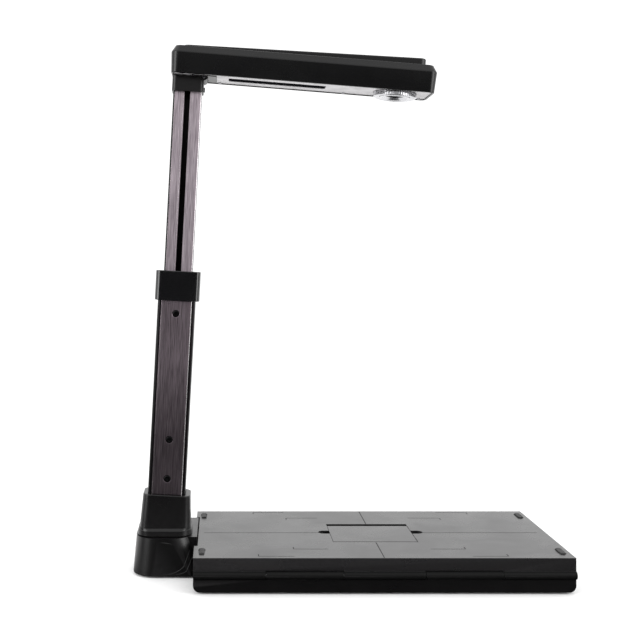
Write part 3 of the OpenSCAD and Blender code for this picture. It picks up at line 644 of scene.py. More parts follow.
class Shaper:
    """Builds meshes in a local frame and hands them over as scanner pieces."""

    def __init__(self, finishes: Finishes) -> None:
        """Takes the finishes that the pieces are dressed in."""
        self.finishes = finishes

    @staticmethod
    def link(name: str, bm: BMesh) -> Piece:
        """Turns a bmesh into an object with outward normals."""
        bmesh.ops.recalc_face_normals(bm, faces=bm.faces)
        mesh = bpy.data.meshes.new(name)
        bm.to_mesh(mesh)
        bm.free()
        obj = bpy.data.objects.new(name, mesh)
        bpy.context.scene.collection.objects.link(obj)
        return obj

    def loft(self, name: str, rings: Sequence[Sequence[Vector]]) -> Piece:
        """Skins a row of rings with equal point counts into a closed solid.

        Args:
            name: Name of the object.
            rings: Rings of points, each going the same way round.

        Returns:
            The closed solid.
        """
        bm = bmesh.new()
        rows = [[bm.verts.new(p) for p in ring] for ring in rings]
        count = len(rows[0])
        for low, high in zip(rows, rows[1:]):
            for i in range(count):
                j = (i + 1) % count
                bm.faces.new((low[i], low[j], high[j], high[i]))
        bm.faces.new(reversed(rows[0]))
        bm.faces.new(rows[-1])
        return self.link(name, bm)

    def tower(self, name: str, place: Matrix, levels: Sequence[Level], rim: float = 0.0,
              steps: int = 12) -> Piece:
        """Lofts rounded rectangles on top of each other.

        Args:
            name: Name of the object.
            place: Frame of the outlines, whose Z goes up through their centres.
            levels: The outlines, from the bottom up.
            rim: Radius that rounds the top edge.
            steps: Segments in each corner.

        Returns:
            The closed solid.
        """
        rings = []
        rows = list(levels)
        if rim:
            z, w, d, radius = rows.pop()
            for i in range(RIM_STEPS + 1):
                a = math.radians(90 * i / RIM_STEPS)
                cut = 2 * rim * (1 - math.cos(a))
                rows.append((z - rim + rim * math.sin(a), w - cut, d - cut, radius))
        for z, w, d, radius in rows:
            rings.append([place @ Vector((x, y, z)) for x, y in rounded_outline(w, d, radius, steps)])
        return self.loft(name, rings)

    def wire(self, name: str, path: Sequence[Vector], radius: float, sides: int = 8,
             thin_end: float = 0.25) -> Piece:
        """Sweeps a small round section along a path, tapering to both ends.

        Args:
            name: Name of the object.
            path: Points of the path.
            radius: Radius of the section in the middle.
            sides: Sides of the section.
            thin_end: Share of the radius that is left at the ends.

        Returns:
            The closed solid.
        """
        rings = []
        last = len(path) - 1
        for i, point in enumerate(path):
            along = (path[min(i + 1, last)] - path[max(i - 1, 0)]).normalized()
            side = along.cross(Axis.ACROSS.value).normalized()
            out = along.cross(side)
            r = radius * (thin_end + (1 - thin_end) * math.sin(math.pi * i / last))
            turns = [math.tau * k / sides for k in range(sides)]
            rings.append([point + side * r * math.cos(t) + out * r * math.sin(t) for t in turns])
        return self.loft(name, rings)

    def spin(self, name: str, place: Matrix, profile: Sequence[Point], steps: int = 64,
             toothed: Sequence[int] = (), tooth: float = 0.0) -> Piece:
        """Turns a closed profile round a frame's Z axis.

        Args:
            name: Name of the object.
            place: Frame whose Z is the axis.
            profile: Radius and height of each point, all with a radius above 0.
            steps: Steps round the axis.
            toothed: Indices of the profile's points that step in and out by a tooth.
            tooth: Depth of the teeth.

        Returns:
            The ring.
        """
        bm = bmesh.new()
        rows = []
        for i in range(steps):
            a = math.tau * i / steps
            low = i % TOOTH_STEPS < TOOTH_STEPS // 2
            row = []
            for k, (radius, z) in enumerate(profile):
                reach = radius - tooth if low and k in toothed else radius
                row.append(bm.verts.new(place @ Vector((reach * math.cos(a), reach * math.sin(a), z))))
            rows.append(row)
        count = len(profile)
        for i in range(steps):
            here, there = rows[i], rows[(i + 1) % steps]
            for k in range(count):
                m = (k + 1) % count
                bm.faces.new((here[k], here[m], there[m], there[k]))
        return self.link(name, bm)

    def soften(self, node: str, width: float, name: str | None = None, angle: float = CREASE) -> Piece:
        """Makes a new piece from a CAD node's form, with its sharp edges rounded.

        Args:
            node: The CAD node.
            width: Size of the rounding, in metres.
            name: Name of the piece, or None for the node's name with _form.
            angle: Edges sharper than this many degrees are rounded.

        Returns:
            The new object, at the node's place.
        """
        bm = bmesh.new()
        bm.from_mesh(frame["nodes"][node].data)
        bmesh.ops.remove_doubles(bm, verts=bm.verts, dist=SAME_POINT)
        bmesh.ops.dissolve_limit(bm, angle_limit=math.radians(FLAT), verts=bm.verts, edges=bm.edges)
        obj = self.link(name or f"{node}_form", bm)
        bevel = obj.modifiers.new("rounding", "BEVEL")
        bevel.width = width
        bevel.segments = BEVEL_STEPS
        bevel.limit_method = "ANGLE"
        bevel.angle_limit = math.radians(angle)
        bevel.use_clamp_overlap = True
        bevel.harden_normals = False
        bevel.miter_outer = "MITER_ARC"
        return obj

    @staticmethod
    def apply(obj: Piece) -> None:
        """Applies an object's modifiers to its mesh."""
        graph = bpy.context.evaluated_depsgraph_get()
        mesh = bpy.data.meshes.new_from_object(obj.evaluated_get(graph))
        obj.modifiers.clear()
        obj.data = mesh

    @staticmethod
    def cut(target: Piece, tool: Piece, operation: str = "DIFFERENCE") -> None:
        """Cuts or joins one closed mesh with another and removes the tool."""
        step = target.modifiers.new("cut", "BOOLEAN")
        step.operation = operation
        step.solver = "EXACT"
        step.object = tool
        bpy.context.view_layer.update()
        Shaper.apply(target)
        bpy.data.objects.remove(tool)

    def hand_over(self, obj: Piece, body: str, slot: str, finish: str, *replaced: str,
                  angle: float = CREASE) -> Piece:
        """Finishes a piece: applies it, dresses it and puts it on its body.

        Args:
            obj: The piece, in the row frame.
            body: CAD body that it rides on.
            slot: The record's material slot; not used.
            finish: Key of its finish.
            replaced: CAD nodes that it stands for.
            angle: Crease angle of its shading, in degrees.

        Returns:
            The piece.
        """
        bpy.context.view_layer.update()
        if obj.modifiers:
            self.apply(obj)
        obj.data.shade_smooth()
        obj.data.set_sharp_from_angle(angle=math.radians(angle))
        even = obj.modifiers.new("even_normals", "WEIGHTED_NORMAL")
        even.mode = "FACE_AREA"
        even.keep_sharp = True
        obj.data.materials.clear()
        obj.data.materials.append(self.finishes[finish])
        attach(obj, body)
        if replaced:
            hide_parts(*replaced)
        log.info("%s: %d faces on %s", obj.name, len(obj.data.polygons), body)
        return obj

    def reuse(self, node: str, width: float, body: str, slot: str, finish: str) -> Piece:
        """Hands over a CAD node's own form with its sharp edges rounded."""
        return self.hand_over(self.soften(node, width), body, slot, finish, node)

    def paint(self, obj: Piece, finish: str, chosen: Callable[[Vector], bool]) -> None:
        """Gives the faces whose middle is chosen a second finish, after the piece is handed over.

        Args:
            obj: The piece.
            finish: Key of the finish.
            chosen: Tells whether a face's middle, in the row frame, is one of them.
        """
        obj.data.materials.append(self.finishes[finish])
        index = len(obj.data.materials) - 1
        for face in obj.data.polygons:
            if chosen(face.center):
                face.material_index = index

    def dress_nodes(self, finish: str, *nodes: str) -> None:
        """Gives CAD nodes that stay as they are their finish."""
        for node in nodes:
            materials = frame["nodes"][node].data.materials
            if not materials:
                materials.append(self.finishes[finish])
            for i in range(len(materials)):
                materials[i] = self.finishes[finish]


# ---- Sub-assemblies ----


@dataclass
class FoldingBoard:
    """Lower board and folding leaf, with hinge knuckles, feet and printed marks."""

    shaper: Shaper
    where: LocalFrame
    edge: float = 0.5 * MM
    pad_edge: float = 0.4 * MM
    flap_edge: float = 0.3 * MM
    knuckle_r: float = 3.4 * MM
    recess: Point = (0.1 * MM, 1 * MM)
    mark_width: float = 0.7 * MM
    mark_height: float = 0.04 * MM
    line_ends: Point = (8 * MM, 6 * MM)
    back_ends: Point = (7 * MM, 0.8 * MM)
    front_ends: Point = (1.2 * MM, 1 * MM)
    a5: Point = (210 * MM, 148 * MM)
    a6: Point = (148 * MM, 105 * MM)
    mark_len: float = 30 * MM
    mark_leg: float = 6 * MM

    def build(self) -> None:
        """Builds and dresses the board's pieces."""
        s = self.shaper
        front = self.where.origin.y
        hinge = Vector(joint("leaf_fold")["pos_m"])
        lower = s.reuse("lower_board_shell", self.edge, "base", "satin_black", "satin")
        leaf = s.reuse("leaf_shell", self.edge, "leaf", "board_top", "board")
        for shell in (lower, leaf):
            s.paint(shell, "dull", lambda middle: middle.y < front - self.recess[0])
            # Painted shadow: the clearance faces round the hinge knuckles get a near-black finish.
            s.paint(shell, "seam", lambda middle: self.in_recess(middle - hinge))
        s.reuse("corner_pads", self.pad_edge, "leaf", "rubber", "pad")
        s.reuse("storage_flap", self.flap_edge, "flap", "board_top", "board")
        self.print_marks()
        s.dress_nodes("satin", "lower_board_cover", "leaf_cover")
        s.dress_nodes("rubber", "board_feet")
        s.dress_nodes("steel", "ballast_plate", "cover_screws", "leaf_screws", "arm_screws",
                      "board_hinge_pin", "flap_pins")

    def in_recess(self, from_hinge: Vector) -> bool:
        """Whether a point lies in the clearance around the hinge knuckles."""
        near, far = self.recess
        return near < math.hypot(from_hinge.y, from_hinge.z) - self.knuckle_r < far

    def strip(self, bm: BMesh, low: Point, high: Point, z: float) -> None:
        """Adds one thin printed strip between two corners, in the row frame."""
        (x0, y0), (x1, y1) = low, high
        corners = [(x0, y0), (x1, y0), (x1, y1), (x0, y1)]
        base, top = ([bm.verts.new((x, y, z + side)) for x, y in corners]
                     for side in (-self.mark_height, self.mark_height))
        bm.faces.new(reversed(base))
        bm.faces.new(top)
        for i in range(4):
            j = (i + 1) % 4
            bm.faces.new((base[i], base[j], top[j], top[i]))

    def print_marks(self) -> None:
        """Builds the centre lines and the corner marks of the two sheet sizes."""
        low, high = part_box("leaf_shell")
        flap_low, flap_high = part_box("storage_flap")
        front = self.where.origin.y
        middle = Vector(((low.x + high.x) / 2, (front + high.y) / 2, high.z))
        half = self.mark_width / 2
        bm = bmesh.new()
        margin, gap = self.line_ends
        for x0, x1 in ((low.x + margin, flap_low.x - gap), (flap_high.x + gap, high.x - margin)):
            self.strip(bm, (x0, middle.y - half), (x1, middle.y + half), high.z)
        for y0, y1 in ((flap_high.y + self.back_ends[0], high.y - self.back_ends[1]),
                       (front + self.front_ends[0], flap_low.y - self.front_ends[1])):
            self.strip(bm, (middle.x - half, y0), (middle.x + half, y1), high.z)
        for width, depth in (self.a5, self.a6):
            for sx in (-1, 1):
                for sy in (-1, 1):
                    self.corner(bm, middle, sx * width / 2, sy * depth / 2, half)
        self.shaper.hand_over(self.shaper.link("size_marks", bm), "leaf", "board_top", "print")

    def corner(self, bm: BMesh, middle: Vector, dx: float, dy: float, half: float) -> None:
        """Adds one corner mark: a long line inwards along X and a short leg along Y."""
        x, y = middle.x + dx, middle.y + dy
        inwards = -math.copysign(self.mark_len, dx)
        leg = -math.copysign(self.mark_leg, dy)
        self.strip(bm, (min(x, x + inwards), y - half), (max(x, x + inwards), y + half), middle.z)
        self.strip(bm, (x - half, min(y, y + leg)), (x + half, max(y, y + leg)), middle.z)


@dataclass
class Foot:
    """Foot drum with its arm, base plate and pads, and the swivel ring on it."""

    shaper: Shaper
    mast: LocalFrame
    drum_r: float = 20 * MM
    flare_r: float = 5 * MM
    taper: float = 2.6 * MM
    edge: float = 1.0 * MM
    crease: float = 40.0
    line_r: float = 0.34 * MM
    line_steps: int = 28
    lines: tuple[tuple[float, ...], ...] = (
        (0.30, 1.55, 0.05, 0.66, 1.7), (0.62, 1.62, 0.05, 0.47, 1.5), (0.22, 0.95, 0.90, 0.86, 2.0))
    ring_steps: tuple[Level, ...] = (
        (0.0, 0.6 * MM, 3.1 * MM, 13 * MM), (0.5 * MM, 0.0, 2.5 * MM, 13.5 * MM),
        (4.6 * MM, 1.2 * MM, 3.7 * MM, 12 * MM), (5.2 * MM, 2 * MM, 4.6 * MM, 11.5 * MM))
    ring_top: Level = (0.0, 2.4 * MM, 6.6 * MM, 9.5 * MM)
    ring_bore: Point = (24.1 * MM, 12 * MM)
    ring_crease: float = 25.0

    def build(self) -> None:
        """Builds and dresses the foot's pieces."""
        s = self.shaper
        self.drum()
        self.ring()
        s.dress_nodes("satin", "foot_base_plate")
        s.dress_nodes("rubber", "foot_pads")
        s.dress_nodes("steel", "foot_screws", "swivel_shaft", "shaft_screws", "swivel_nut")
        s.dress_nodes("brass", "swivel_washer")

    def surface(self, across: float, up: float) -> Vector:
        """A point on the drum's front.

        Args:
            across: 0 to 1 along the flat front, above 1 round its right-hand corner.
            up: 0 at the drum's foot, 1 at its top.

        Returns:
            The point in the row frame.
        """
        low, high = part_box("foot_housing")
        axis = self.mast.origin
        ends = []
        for inset, left, right in ((0.0, self.drum_r, self.flare_r), (self.taper, self.drum_r, self.drum_r)):
            half_w, half_d = axis.x - low.x - inset, axis.y - low.y - inset
            turn = math.radians(90 * max(across - 1, 0.0))
            start, stop = -half_w + left, half_w - right
            x = start + (stop - start) * min(across, 1.0) + right * math.sin(turn)
            ends.append(Vector((axis.x + x, axis.y - half_d + right * (1 - math.cos(turn)), 0.0)))
        point = ends[0].lerp(ends[1], up)
        point.z = low.z + (high.z - low.z) * up
        return point

    def drum(self) -> None:
        """Softens the drum and its arm, and adds the curved lines on its front."""
        s = self.shaper
        s.hand_over(s.soften("foot_housing", self.edge, angle=self.crease), "base", "satin_black", "satin",
                    "foot_housing", angle=self.crease)
        for number, (start, stop, low, high, bend) in enumerate(self.lines):
            path = []
            for i in range(self.line_steps + 1):
                t = i / self.line_steps
                path.append(self.surface(start + (stop - start) * t, low + (high - low) * t ** bend))
            line = s.wire(f"foot_line_{number}", path, self.line_r)
            s.hand_over(line, "base", "satin_black", "gloss")

    def ring(self) -> None:
        """Builds the ring that turns on the drum, with an upright side and a narrow top slope."""
        low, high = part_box("swivel_ring")
        centre, size = (low + high) / 2, high - low
        place = Matrix.Translation((centre.x, centre.y, 0.0))
        levels = [(low.z + up, size.x - w, size.y - d, r) for up, w, d, r in self.ring_steps]
        _, less_w, less_d, top_r = self.ring_top
        levels.append((high.z, size.x - less_w, size.y - less_d, top_r))
        ring = self.shaper.tower("swivel_ring_form", place, levels)
        across, r = self.ring_bore
        bore = [(z, across, across, r) for z in (low.z - 1 * MM, high.z + 1 * MM)]
        self.shaper.cut(ring, self.shaper.tower("bore", place, bore))
        self.shaper.hand_over(
            ring, "mast", "satin_black", "satin", "swivel_ring", angle=self.ring_crease)


@dataclass
class Mast:
    """Boot, lower tube with its brushed panel, collar and sliding upper tube."""

    shaper: Shaper
    where: LocalFrame
    corner_steps: int = 16
    crease: float = 24.0
    tube_edge: float = 0.3 * MM
    panel_edge: float = 0.35 * MM
    neck_edge: float = 0.6 * MM
    tube_wall: float = 1.5 * MM
    tube_corner: float = 0.75 * MM
    lower_tube_r: float = 3 * MM
    upper_tube_r: float = 1.6 * MM
    boot_wall: Point = (4.4 * MM, 4 * MM)
    boot_flare: Point = (3.6 * MM, 5 * MM)
    boot_r: float = 7 * MM
    boot_rim: float = 0.9 * MM
    boot_below: float = 2 * MM
    boot_fit: float = 0.05 * MM
    level_block: Level = (20 * MM, 80 * MM, 80 * MM, 5 * MM)
    collar_r: float = 5.4 * MM
    collar_rim: float = 0.7 * MM
    collar_foot: tuple[Point, ...] = ((0.0, 1.2 * MM), (0.2 * MM, 0.4 * MM), (0.7 * MM, 0.0))
    collar_fits: Point = (0.04 * MM, 0.3 * MM)
    screw_r: float = 3 * MM
    shank_r: float = 1.25 * MM
    shank_len: float = 9 * MM
    socket: float = 1.3 * MM
    screw_steps: int = 48
    screw_crease: float = 40.0
    strip_w: float = 0.55 * MM
    strip_out: float = 0.45 * MM
    slot_half: float = 2.6 * MM
    strip_ends: Point = (5 * MM, 8 * MM)

    def build(self) -> None:
        """Builds and dresses the mast's pieces."""
        s = self.shaper
        self.boot()
        self.collar()
        s.reuse("lower_tube", self.tube_edge, "mast", "dark_anodised", "side")
        s.reuse("lower_front_panel", self.panel_edge, "mast", "brushed_anodised", "panel")
        tube = s.reuse("upper_tube", self.tube_edge, "upper_mast", "brushed_anodised", "brushed")
        s.reuse("neck_block", self.neck_edge, "upper_mast", "satin_black", "satin")
        self.shade_inside_blacken_sides(tube)
        self.screws("spine_screws")
        self.screws("guide_screw")
        self.polished_edges()
        s.dress_nodes("oxide", "neck_screw")
        s.dress_nodes("steel", "mast_spine", "head_hinge_pin")
        s.dress_nodes("white", "collar_liner", "glide_shoe")

    def bore(self, node: str, low: float, high: float, gap: float, radius: float) -> Piece:
        """A block with a tube's outline, for cutting the hole that holds the tube."""
        a, b = self.where.box(node)
        w, d = b.x - a.x + 2 * gap, b.y - a.y + 2 * gap
        levels = ((low, w, d, radius), (high, w, d, radius))
        return self.shaper.tower(f"{node}_bore", self.where.matrix, levels)

    def boot(self) -> None:
        """Lofts the boot with finely rounded corners and cuts it level at the swivel ring."""
        s = self.shaper
        high = self.where.box("mast_socket")[1].z
        tube_low, tube_high = self.where.box("lower_tube")
        below = self.boot_below
        spread = 1 + below / (high + below)
        sizes = [b - a + 2 * wall for a, b, wall in zip(tube_low, tube_high, self.boot_wall)]
        wide = [size + flare * spread for size, flare in zip(sizes, self.boot_flare)]
        levels = ((-below, *wide, self.boot_r + 1 * MM), (high, *sizes, self.boot_r))
        boot = s.tower(
            "mast_socket_form", self.where.matrix, levels, rim=self.boot_rim, steps=self.corner_steps)
        depth, *outline = self.level_block
        level = Matrix.Translation(self.where.origin)
        s.cut(boot, s.tower("level_cut", level, ((-depth, *outline), (0.0, *outline))))
        s.cut(boot, self.bore("lower_tube", tube_low.z, high + 5 * MM, self.boot_fit, self.lower_tube_r))
        s.hand_over(boot, "mast", "satin_black", "satin", "mast_socket", angle=self.crease)

    def collar(self) -> None:
        """Lofts the glossy collar, rounded at both ends."""
        s = self.shaper
        low, high = self.where.box("collar")
        size = high - low
        tube_top = self.where.box("lower_tube")[1].z
        levels = [(low.z + up, size.x - less, size.y - less, self.collar_r) for up, less in self.collar_foot]
        levels.append((high.z, size.x, size.y, self.collar_r))
        collar = s.tower(
            "collar_form", self.where.matrix, levels, rim=self.collar_rim, steps=self.corner_steps)
        outer_fit, inner_fit = self.collar_fits
        s.cut(collar, self.bore("lower_tube", low.z - 2 * MM, tube_top, outer_fit, self.lower_tube_r))
        s.cut(collar, self.bore("upper_tube", low.z, high.z + 2 * MM, inner_fit, self.upper_tube_r))
        s.hand_over(collar, "mast", "gloss_black", "gloss", "collar", angle=self.crease)

    def shade_inside_blacken_sides(self, tube: Piece) -> None:
        """Paints shade on the inner faces of the slotted tube, and gives its sides and corners their black
        finish.
        """
        low, high = self.where.box("upper_tube")
        wall = self.tube_wall
        inverse = self.where.matrix.inverted()

        def dark(middle: Vector) -> bool:
            """Tells whether a face's middle is inside the tube's wall, or on its corners or sides."""
            spot = inverse @ middle
            # Inner faces: painted shade inside the channel; corners and sides: the tube's black side finish.
            inside = low.x + wall < spot.x < high.x - wall and low.y + wall < spot.y < high.y - wall
            return inside or abs(spot.x) > high.x - self.tube_corner

        self.shaper.paint(tube, "side", dark)

    def screws(self, node: str) -> None:
        """Builds socket-head screws in place of a node's plain ones."""
        points = self.where.points(node)
        front = min(p.y for p in points)
        heights = sorted(p.z for p in points if p.y < front + 0.01 * MM)
        groups = [[heights[0]]]
        for z in heights[1:]:
            if z - groups[-1][-1] > 2 * self.screw_r:
                groups.append([])
            groups[-1].append(z)
        turn = Matrix.Rotation(math.radians(90), 4, "X")
        for number, group in enumerate(groups):
            middle = Vector((0.0, front, (group[0] + group[-1]) / 2))
            place = self.where.matrix @ Matrix.Translation(middle) @ turn
            screw = self.socket_screw(f"{node}_form_{number}", place)
            stands_for = (node,) if number == 0 else ()
            self.shaper.hand_over(screw, "mast", "dark_screw", "oxide", *stands_for, angle=self.screw_crease)

    def socket_screw(self, name: str, place: Matrix) -> Piece:
        """Lofts one screw whose head has a hexagonal socket, with its top at the frame's origin."""
        r, flat, shank = self.screw_r, self.socket, self.shank_r
        sixth = math.pi / 3

        def ring(radius: float, z: float, hexagon: bool = False) -> list[Vector]:
            """One ring of points, round or six-sided."""
            row = []
            for i in range(self.screw_steps):
                a = math.tau * i / self.screw_steps
                reach = radius / math.cos((a + sixth / 2) % sixth - sixth / 2) if hexagon else radius
                row.append(place @ Vector((reach * math.cos(a), reach * math.sin(a), z)))
            return row

        under = -0.9 * MM
        rings = [ring(shank, -self.shank_len), ring(shank, under), ring(r, under), ring(r, -0.35 * MM),
                 ring(r * 0.94, -0.1 * MM), ring(r * 0.82, 0.0), ring(flat + 0.12 * MM, 0.0, True),
                 ring(flat, -0.12 * MM, True), ring(flat, -0.75 * MM, True)]
        return self.shaper.loft(name, rings)

    def polished_edges(self) -> None:
        """Builds the bright chamfers along the panel, the upper tube and its slot."""
        panel_low, panel_high = self.where.box("lower_front_panel")
        tube_low, tube_high = self.where.box("upper_tube")
        foot, top = tube_low.z + self.strip_ends[0], tube_high.z - self.strip_ends[1]
        runs = (
            ("panel_edge", "mast", panel_high.x + 0.45 * MM, panel_low.y, panel_low.z, panel_high.z, 1),
            ("tube_edge", "upper_mast", tube_high.x - 0.2 * MM, tube_low.y, foot, top, 1),
            ("slot_edge", "upper_mast", self.slot_half + 0.65 * MM, tube_low.y, foot, top, -1),
        )
        out = self.strip_out
        for name, body, x, y, low, high, way in runs:
            for side, label in ((-1, "left"), (1, "right")):
                outer = side * x
                inner = outer - side * way * self.strip_w
                section = ((inner, y - 0.05 * MM), (outer, y + out), (inner, y + out + 0.05 * MM))
                ends = [[self.where.matrix @ Vector((*corner, z)) for corner in section] for z in (low, high)]
                edge = self.shaper.loft(f"{name}_{label}", ends)
                self.shaper.hand_over(edge, body, "brushed_anodised", "bright")


@dataclass
class Head:
    """Camera head: casing, lid, underside plate, lamp window and lens."""

    shaper: Shaper
    where: LocalFrame

    wall: float = 2 * MM
    plate_sink: float = 0.8 * MM
    plate_edge: float = 0.2 * MM
    window_edge: float = 0.3 * MM
    corner: float = 7.5 * MM
    corner_steps: int = 14
    crease: float = 24.0
    draft: float = 1.2 * MM
    soft: float = 0.7 * MM
    rim: float = 1.0 * MM
    bevel_in: float = 3 * MM
    side: float = 19 * MM
    inner_corners: tuple[float, float, float] = (4 * MM, 4 * MM, 3 * MM)
    port_gap: float = 0.4 * MM
    port_depth: float = 8 * MM
    lid_corner: float = 6 * MM
    lid_steps: tuple[int, int] = (5, 12)
    lid_low: float = 1.8 * MM
    lid_edge: float = 1.4 * MM
    lid_crease: float = 30.0
    teeth: int = 56
    tooth: float = 0.55 * MM
    ring_bore: float = 14.06 * MM
    ring_lip: float = 16.9 * MM
    ring_crease: float = 28.0
    bezel_out: float = 13.9 * MM
    bezel_in: float = 9.2 * MM
    bezel_steps: int = 96

    def build(self) -> None:
        """Builds and dresses the head's pieces."""
        s = self.shaper
        self.casing()
        self.lid()
        self.ring()
        self.bezel()
        s.reuse("underside_plate", self.plate_edge, "head", "silver_plate", "plate")
        s.reuse("led_window", self.window_edge, "head", "dark_window", "window")
        s.dress_nodes("gloss", "lens_barrel")
        s.dress_nodes("glass", "lens_glass")
        s.dress_nodes("circuit", "led_board", "sensor_board", "main_board")
        s.dress_nodes("steel", "usb_port", "head_screws")
        s.dress_nodes("brass", "hinge_washers")

    def middle(self, low: Vector, high: Vector) -> Matrix:
        """The head's frame, moved to the middle of a box."""
        return self.where.matrix @ Matrix.Translation(((low.x + high.x) / 2, (low.y + high.y) / 2, 0.0))

    def casing(self) -> None:
        """Lofts the casing with finely rounded corners, and keeps what the CAD has inside it."""
        s = self.shaper
        low, high = self.where.box("head_shell")
        low.z = self.where.box("underside_plate")[0].z - self.plate_sink
        size = high - low
        place = self.middle(low, high)
        r, soft, foot, top = self.corner, self.soft, 2 * self.draft, 2 * self.bevel_in

        def levels(*rows: tuple[float, float, float]) -> list[Level]:
            """Levels of the casing's outline, from heights, cuts and corner radii."""
            return [(z, size.x - less, size.y - less, radius) for z, less, radius in rows]

        outer = s.tower("head_casing", place, levels(
            (low.z, foot + 2 * soft, r - self.draft - soft),
            (low.z + 0.3 * soft, foot + 0.6 * soft, r - self.draft),
            (low.z + soft, foot, r - self.draft),
            (self.side - soft, 0.1 * MM, r),
            (self.side, 0.2 * MM, r),
            (self.side + soft, 1.1 * soft, r - 0.3 * MM),
            (high.z, top, r - 2 * MM),
        ), rim=self.rim, steps=self.corner_steps)

        def cavity(name: str, grow: float) -> Piece:
            """The room inside the casing."""
            w = 2 * self.wall
            heights = (low.z - 5 * MM, self.side, high.z - self.wall + grow)
            cuts = (foot + w - grow, w - grow, top + w)
            return s.tower(name, place, levels(*zip(heights, cuts, self.inner_corners)))

        s.cut(outer, cavity("cavity", 0.0))
        port_low, port_high = self.where.box("usb_port")
        centre, hole = (port_low + port_high) / 2, port_high - port_low
        reach = (hole.z + self.port_gap) / 2
        outline = (hole.x + self.port_gap, self.port_depth, 0.2 * MM)
        port = self.where.matrix @ Matrix.Translation((centre.x, high.y, 0.0))
        s.cut(outer, s.tower(
            "port_hole", port, ((centre.z - reach, *outline), (centre.z + reach, *outline))))
        s.hand_over(outer, "head", "satin_black", "sleek", "head_shell", angle=self.crease)
        inside = s.soften("head_shell", self.plate_edge, "head_inside")
        s.apply(inside)
        s.cut(inside, cavity("cavity_again", 0.1 * MM), "INTERSECT")
        s.hand_over(inside, "head", "satin_black", "satin")

    def lid(self) -> None:
        """Lofts the raised lid, which rises towards the nose."""
        low, high = self.where.box("head_lid")
        size = high - low
        edge_steps, corner_steps = self.lid_steps
        levels = [(0.0, None)]
        for i in range(edge_steps + 1):
            a = math.radians(90 * i / edge_steps)
            levels.append((self.lid_edge * (1 - math.cos(a)), self.lid_edge * (1 - math.sin(a))))
        place = self.middle(low, high)
        rings = []
        for inset, drop in levels:
            ring = []
            outline = (size.x - 2 * inset, size.y - 2 * inset, self.lid_corner - inset, corner_steps)
            for x, y in rounded_outline(*outline):
                rise = self.lid_low + (size.z - self.lid_low) * (x / size.x + 0.5)
                ring.append(place @ Vector((x, y, low.z if drop is None else low.z + rise - drop)))
            rings.append(ring)
        lid = self.shaper.loft("head_lid_form", rings)
        self.shaper.hand_over(lid, "head", "satin_black", "sleek", "head_lid", angle=self.lid_crease)

    def lens_axis(self) -> tuple[Matrix, Vector, Vector]:
        """The lens axis as a frame at the head's own height, with the ring's box."""
        low, high = self.where.box("focus_ring")
        return self.middle(low, high), low, high

    def ring(self) -> None:
        """Turns the knurled focus ring."""
        place, low, high = self.lens_axis()
        flange = (high.x - low.x) / 2
        grip = flange - 0.9 * MM
        neck = grip - self.tooth
        bore, lip, z0, z1 = self.ring_bore, self.ring_lip, low.z, high.z
        shelf = z1 - 1.7 * MM
        profile = (
            (bore, z1), (bore, z0 + 2.0 * MM), (lip - 0.3 * MM, z0 + 0.1 * MM), (lip, z0),
            (grip - 1.5 * MM, z0), (grip - 1.2 * MM, z0 + 0.1 * MM), (grip - 0.5 * MM, z0 + 0.7 * MM),
            (grip, z0 + 0.95 * MM), (grip, z0 + 4.4 * MM), (neck, z0 + 4.7 * MM), (neck, shelf),
            (flange, shelf), (flange, z1))
        steps = self.teeth * TOOTH_STEPS
        ring = self.shaper.spin("focus_ring_form", place, profile, steps, (7, 8), self.tooth)
        self.shaper.hand_over(ring, "focus_ring", "silver_ring", "ring", "focus_ring", angle=self.ring_crease)

    def bezel(self) -> None:
        """Turns the bright bezel in front of the lens barrel."""
        place, low, _ = self.lens_axis()
        face = low.z + 0.6 * MM
        rim, back, out, bore = face - 0.02 * MM, face - 0.38 * MM, self.bezel_out, self.bezel_in
        profile = (
            (out, rim), (out, face - 0.3 * MM), (out - 0.3 * MM, back), (bore + 2.4 * MM, back),
            (bore, face + 1.8 * MM), (bore, face + 2.0 * MM), (bore + 2.1 * MM, rim))
        bezel = self.shaper.spin("lens_bezel", place, profile, self.bezel_steps)
        self.shaper.hand_over(bezel, "head", "silver_ring", "ring", angle=self.ring_crease)


@dataclass(frozen=True)
class Lamp:
    """One soft rectangular light: its place, width and height in metres, and power in watts."""

    name: str
    place: tuple[float, float, float]
    size: Point
    power: float

    def hang(self, target: Vector) -> None:
        """Hangs the light, pointing at the target."""
        data = bpy.data.lights.new(self.name, "AREA")
        data.shape = "RECTANGLE"
        data.size, data.size_y = self.size
        data.energy = self.power
        obj = bpy.data.objects.new(self.name, data)
        obj.location = self.place
        obj.rotation_euler = (target - obj.location).to_track_quat("-Z", "Y").to_euler()
        bpy.context.scene.collection.objects.link(obj)


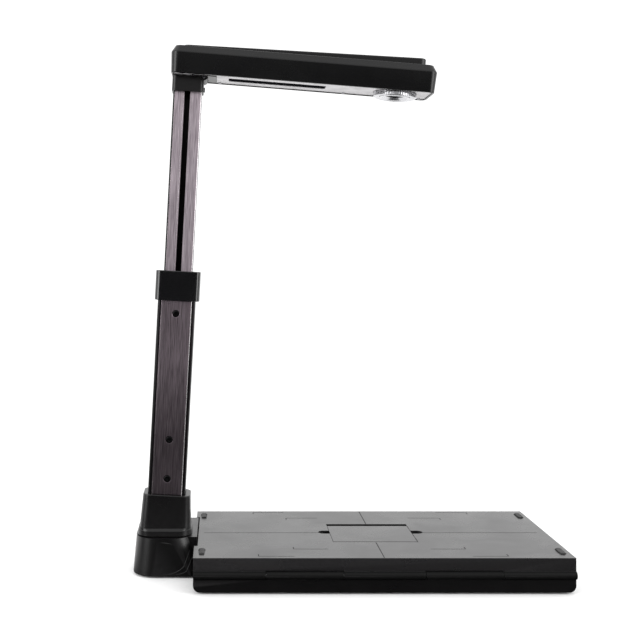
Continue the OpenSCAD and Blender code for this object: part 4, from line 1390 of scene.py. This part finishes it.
@dataclass
class Studio:
    """Pale floor, soft lights and the camera."""

    board: LocalFrame
    camera_side: float = 23.4 * MM
    camera_back: float = 841 * MM
    camera_height: float = 276.7 * MM
    lens: float = 56.7
    sensor: float = 36.0
    far: float = 100.0
    shift: Point = (0.1547, -0.0898)
    floor_size: float = 12.0
    floor_drop: float = 0.4 * MM
    floor_shine: float = 0.05
    floor_fade: tuple[float, float, float, float] = (-0.06, 0.05, 0.02, 0.93)
    pale: float = 0.93
    sky: float = 1.2
    sky_lift: float = 2.2
    sky_fade: tuple[float, float, float, float] = (-0.95, 0.0, 0.03, 1.2)
    target: tuple[float, float, float] = (0.0, 0.0, 0.2)
    lamps: tuple[Lamp, ...] = (
        Lamp("top_light", (0.0, 0.3, 1.6), (1.8, 1.4), 4.0),
        Lamp("left_light", (-1.45, -0.8, 0.6), (0.8, 1.3), 13.0),
        Lamp("right_light", (1.5, -0.75, 0.6), (0.8, 1.3), 13.0),
    )

    def build(self) -> None:
        """Builds the camera, the floor and the lights, and leaves the front dim."""
        self.camera()
        self.floor()
        for lamp in self.lamps:
            lamp.hang(Vector(self.target))
        self.surroundings()
        bpy.context.scene.view_settings.view_transform = "Standard"

    def camera(self) -> None:
        """Sets up a level camera that looks straight along +Y."""
        data = bpy.data.cameras.new("camera")
        data.lens = self.lens
        data.sensor_width = self.sensor
        data.shift_x, data.shift_y = self.shift
        data.clip_end = self.far
        obj = bpy.data.objects.new("camera", data)
        obj.location = self.board.origin + Vector((self.camera_side, -self.camera_back, self.camera_height))
        obj.rotation_euler = (math.radians(90), 0.0, 0.0)
        bpy.context.scene.collection.objects.link(obj)
        bpy.context.scene.camera = obj

    def floor(self) -> None:
        """Lays a plain pale floor."""
        half = self.floor_size / 2
        bm = bmesh.new()
        corners = ((-half, -half), (half, -half), (half, half), (-half, half))
        bm.faces.new([bm.verts.new((x, y, -self.floor_drop)) for x, y in corners])
        obj = Shaper.link("floor", bm)
        obj.data.materials.append(self.floor_material())

    def floor_material(self) -> Material:
        """Pale floor that looks dark in reflections in front of the scanner."""
        material, net, shader = Finish("pale_floor", (self.pale,) * 3, 0.9).start()
        fade = net.ramp(net.axes("Object"), "Y", self.floor_fade, "SMOOTHSTEP")
        net.join(net.in_mirrors(self.pale, fade), "Result", shader, "Base Color")
        shader.inputs["Specular IOR Level"].default_value = self.floor_shine
        return material

    def surroundings(self) -> None:
        """Surrounds the scanner with white that fades to dark in front of it, in reflections only."""
        world = bpy.data.worlds.new("studio")
        world.use_nodes = True
        net = Net(world.node_tree)
        net.tree.nodes.clear()
        parts = net.axes("Generated")
        lift = net.add("ShaderNodeMath", operation="MULTIPLY_ADD")
        net.join(parts, "Z", lift, 0)
        lift.inputs[1].default_value = self.sky_lift
        net.join(parts, "Y", lift, 2)
        fade = net.ramp(lift, "Value", self.sky_fade, "SMOOTHSTEP")
        sky = net.add("ShaderNodeBackground")
        sky.inputs["Color"].default_value = (1.0, 1.0, 1.0, 1.0)
        net.join(net.in_mirrors(self.sky, fade), "Result", sky, "Strength")
        net.join(sky, "Background", net.add("ShaderNodeOutputWorld"), "Surface")
        bpy.context.scene.world = world


def main() -> None:
    """Builds every sub-assembly in order."""
    logging.basicConfig(level=logging.INFO, format="%(message)s")
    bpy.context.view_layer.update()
    board, mast, head = board_frame(), mast_frame(), head_frame()
    Studio(board).build()
    shaper = Shaper(Finishes(mast.lean))
    for part in (FoldingBoard(shaper, board), Foot(shaper, mast), Mast(shaper, mast), Head(shaper, head)):
        log.info("building %s", type(part).__name__)
        part.build()


if __name__ == "__main__":
    main()
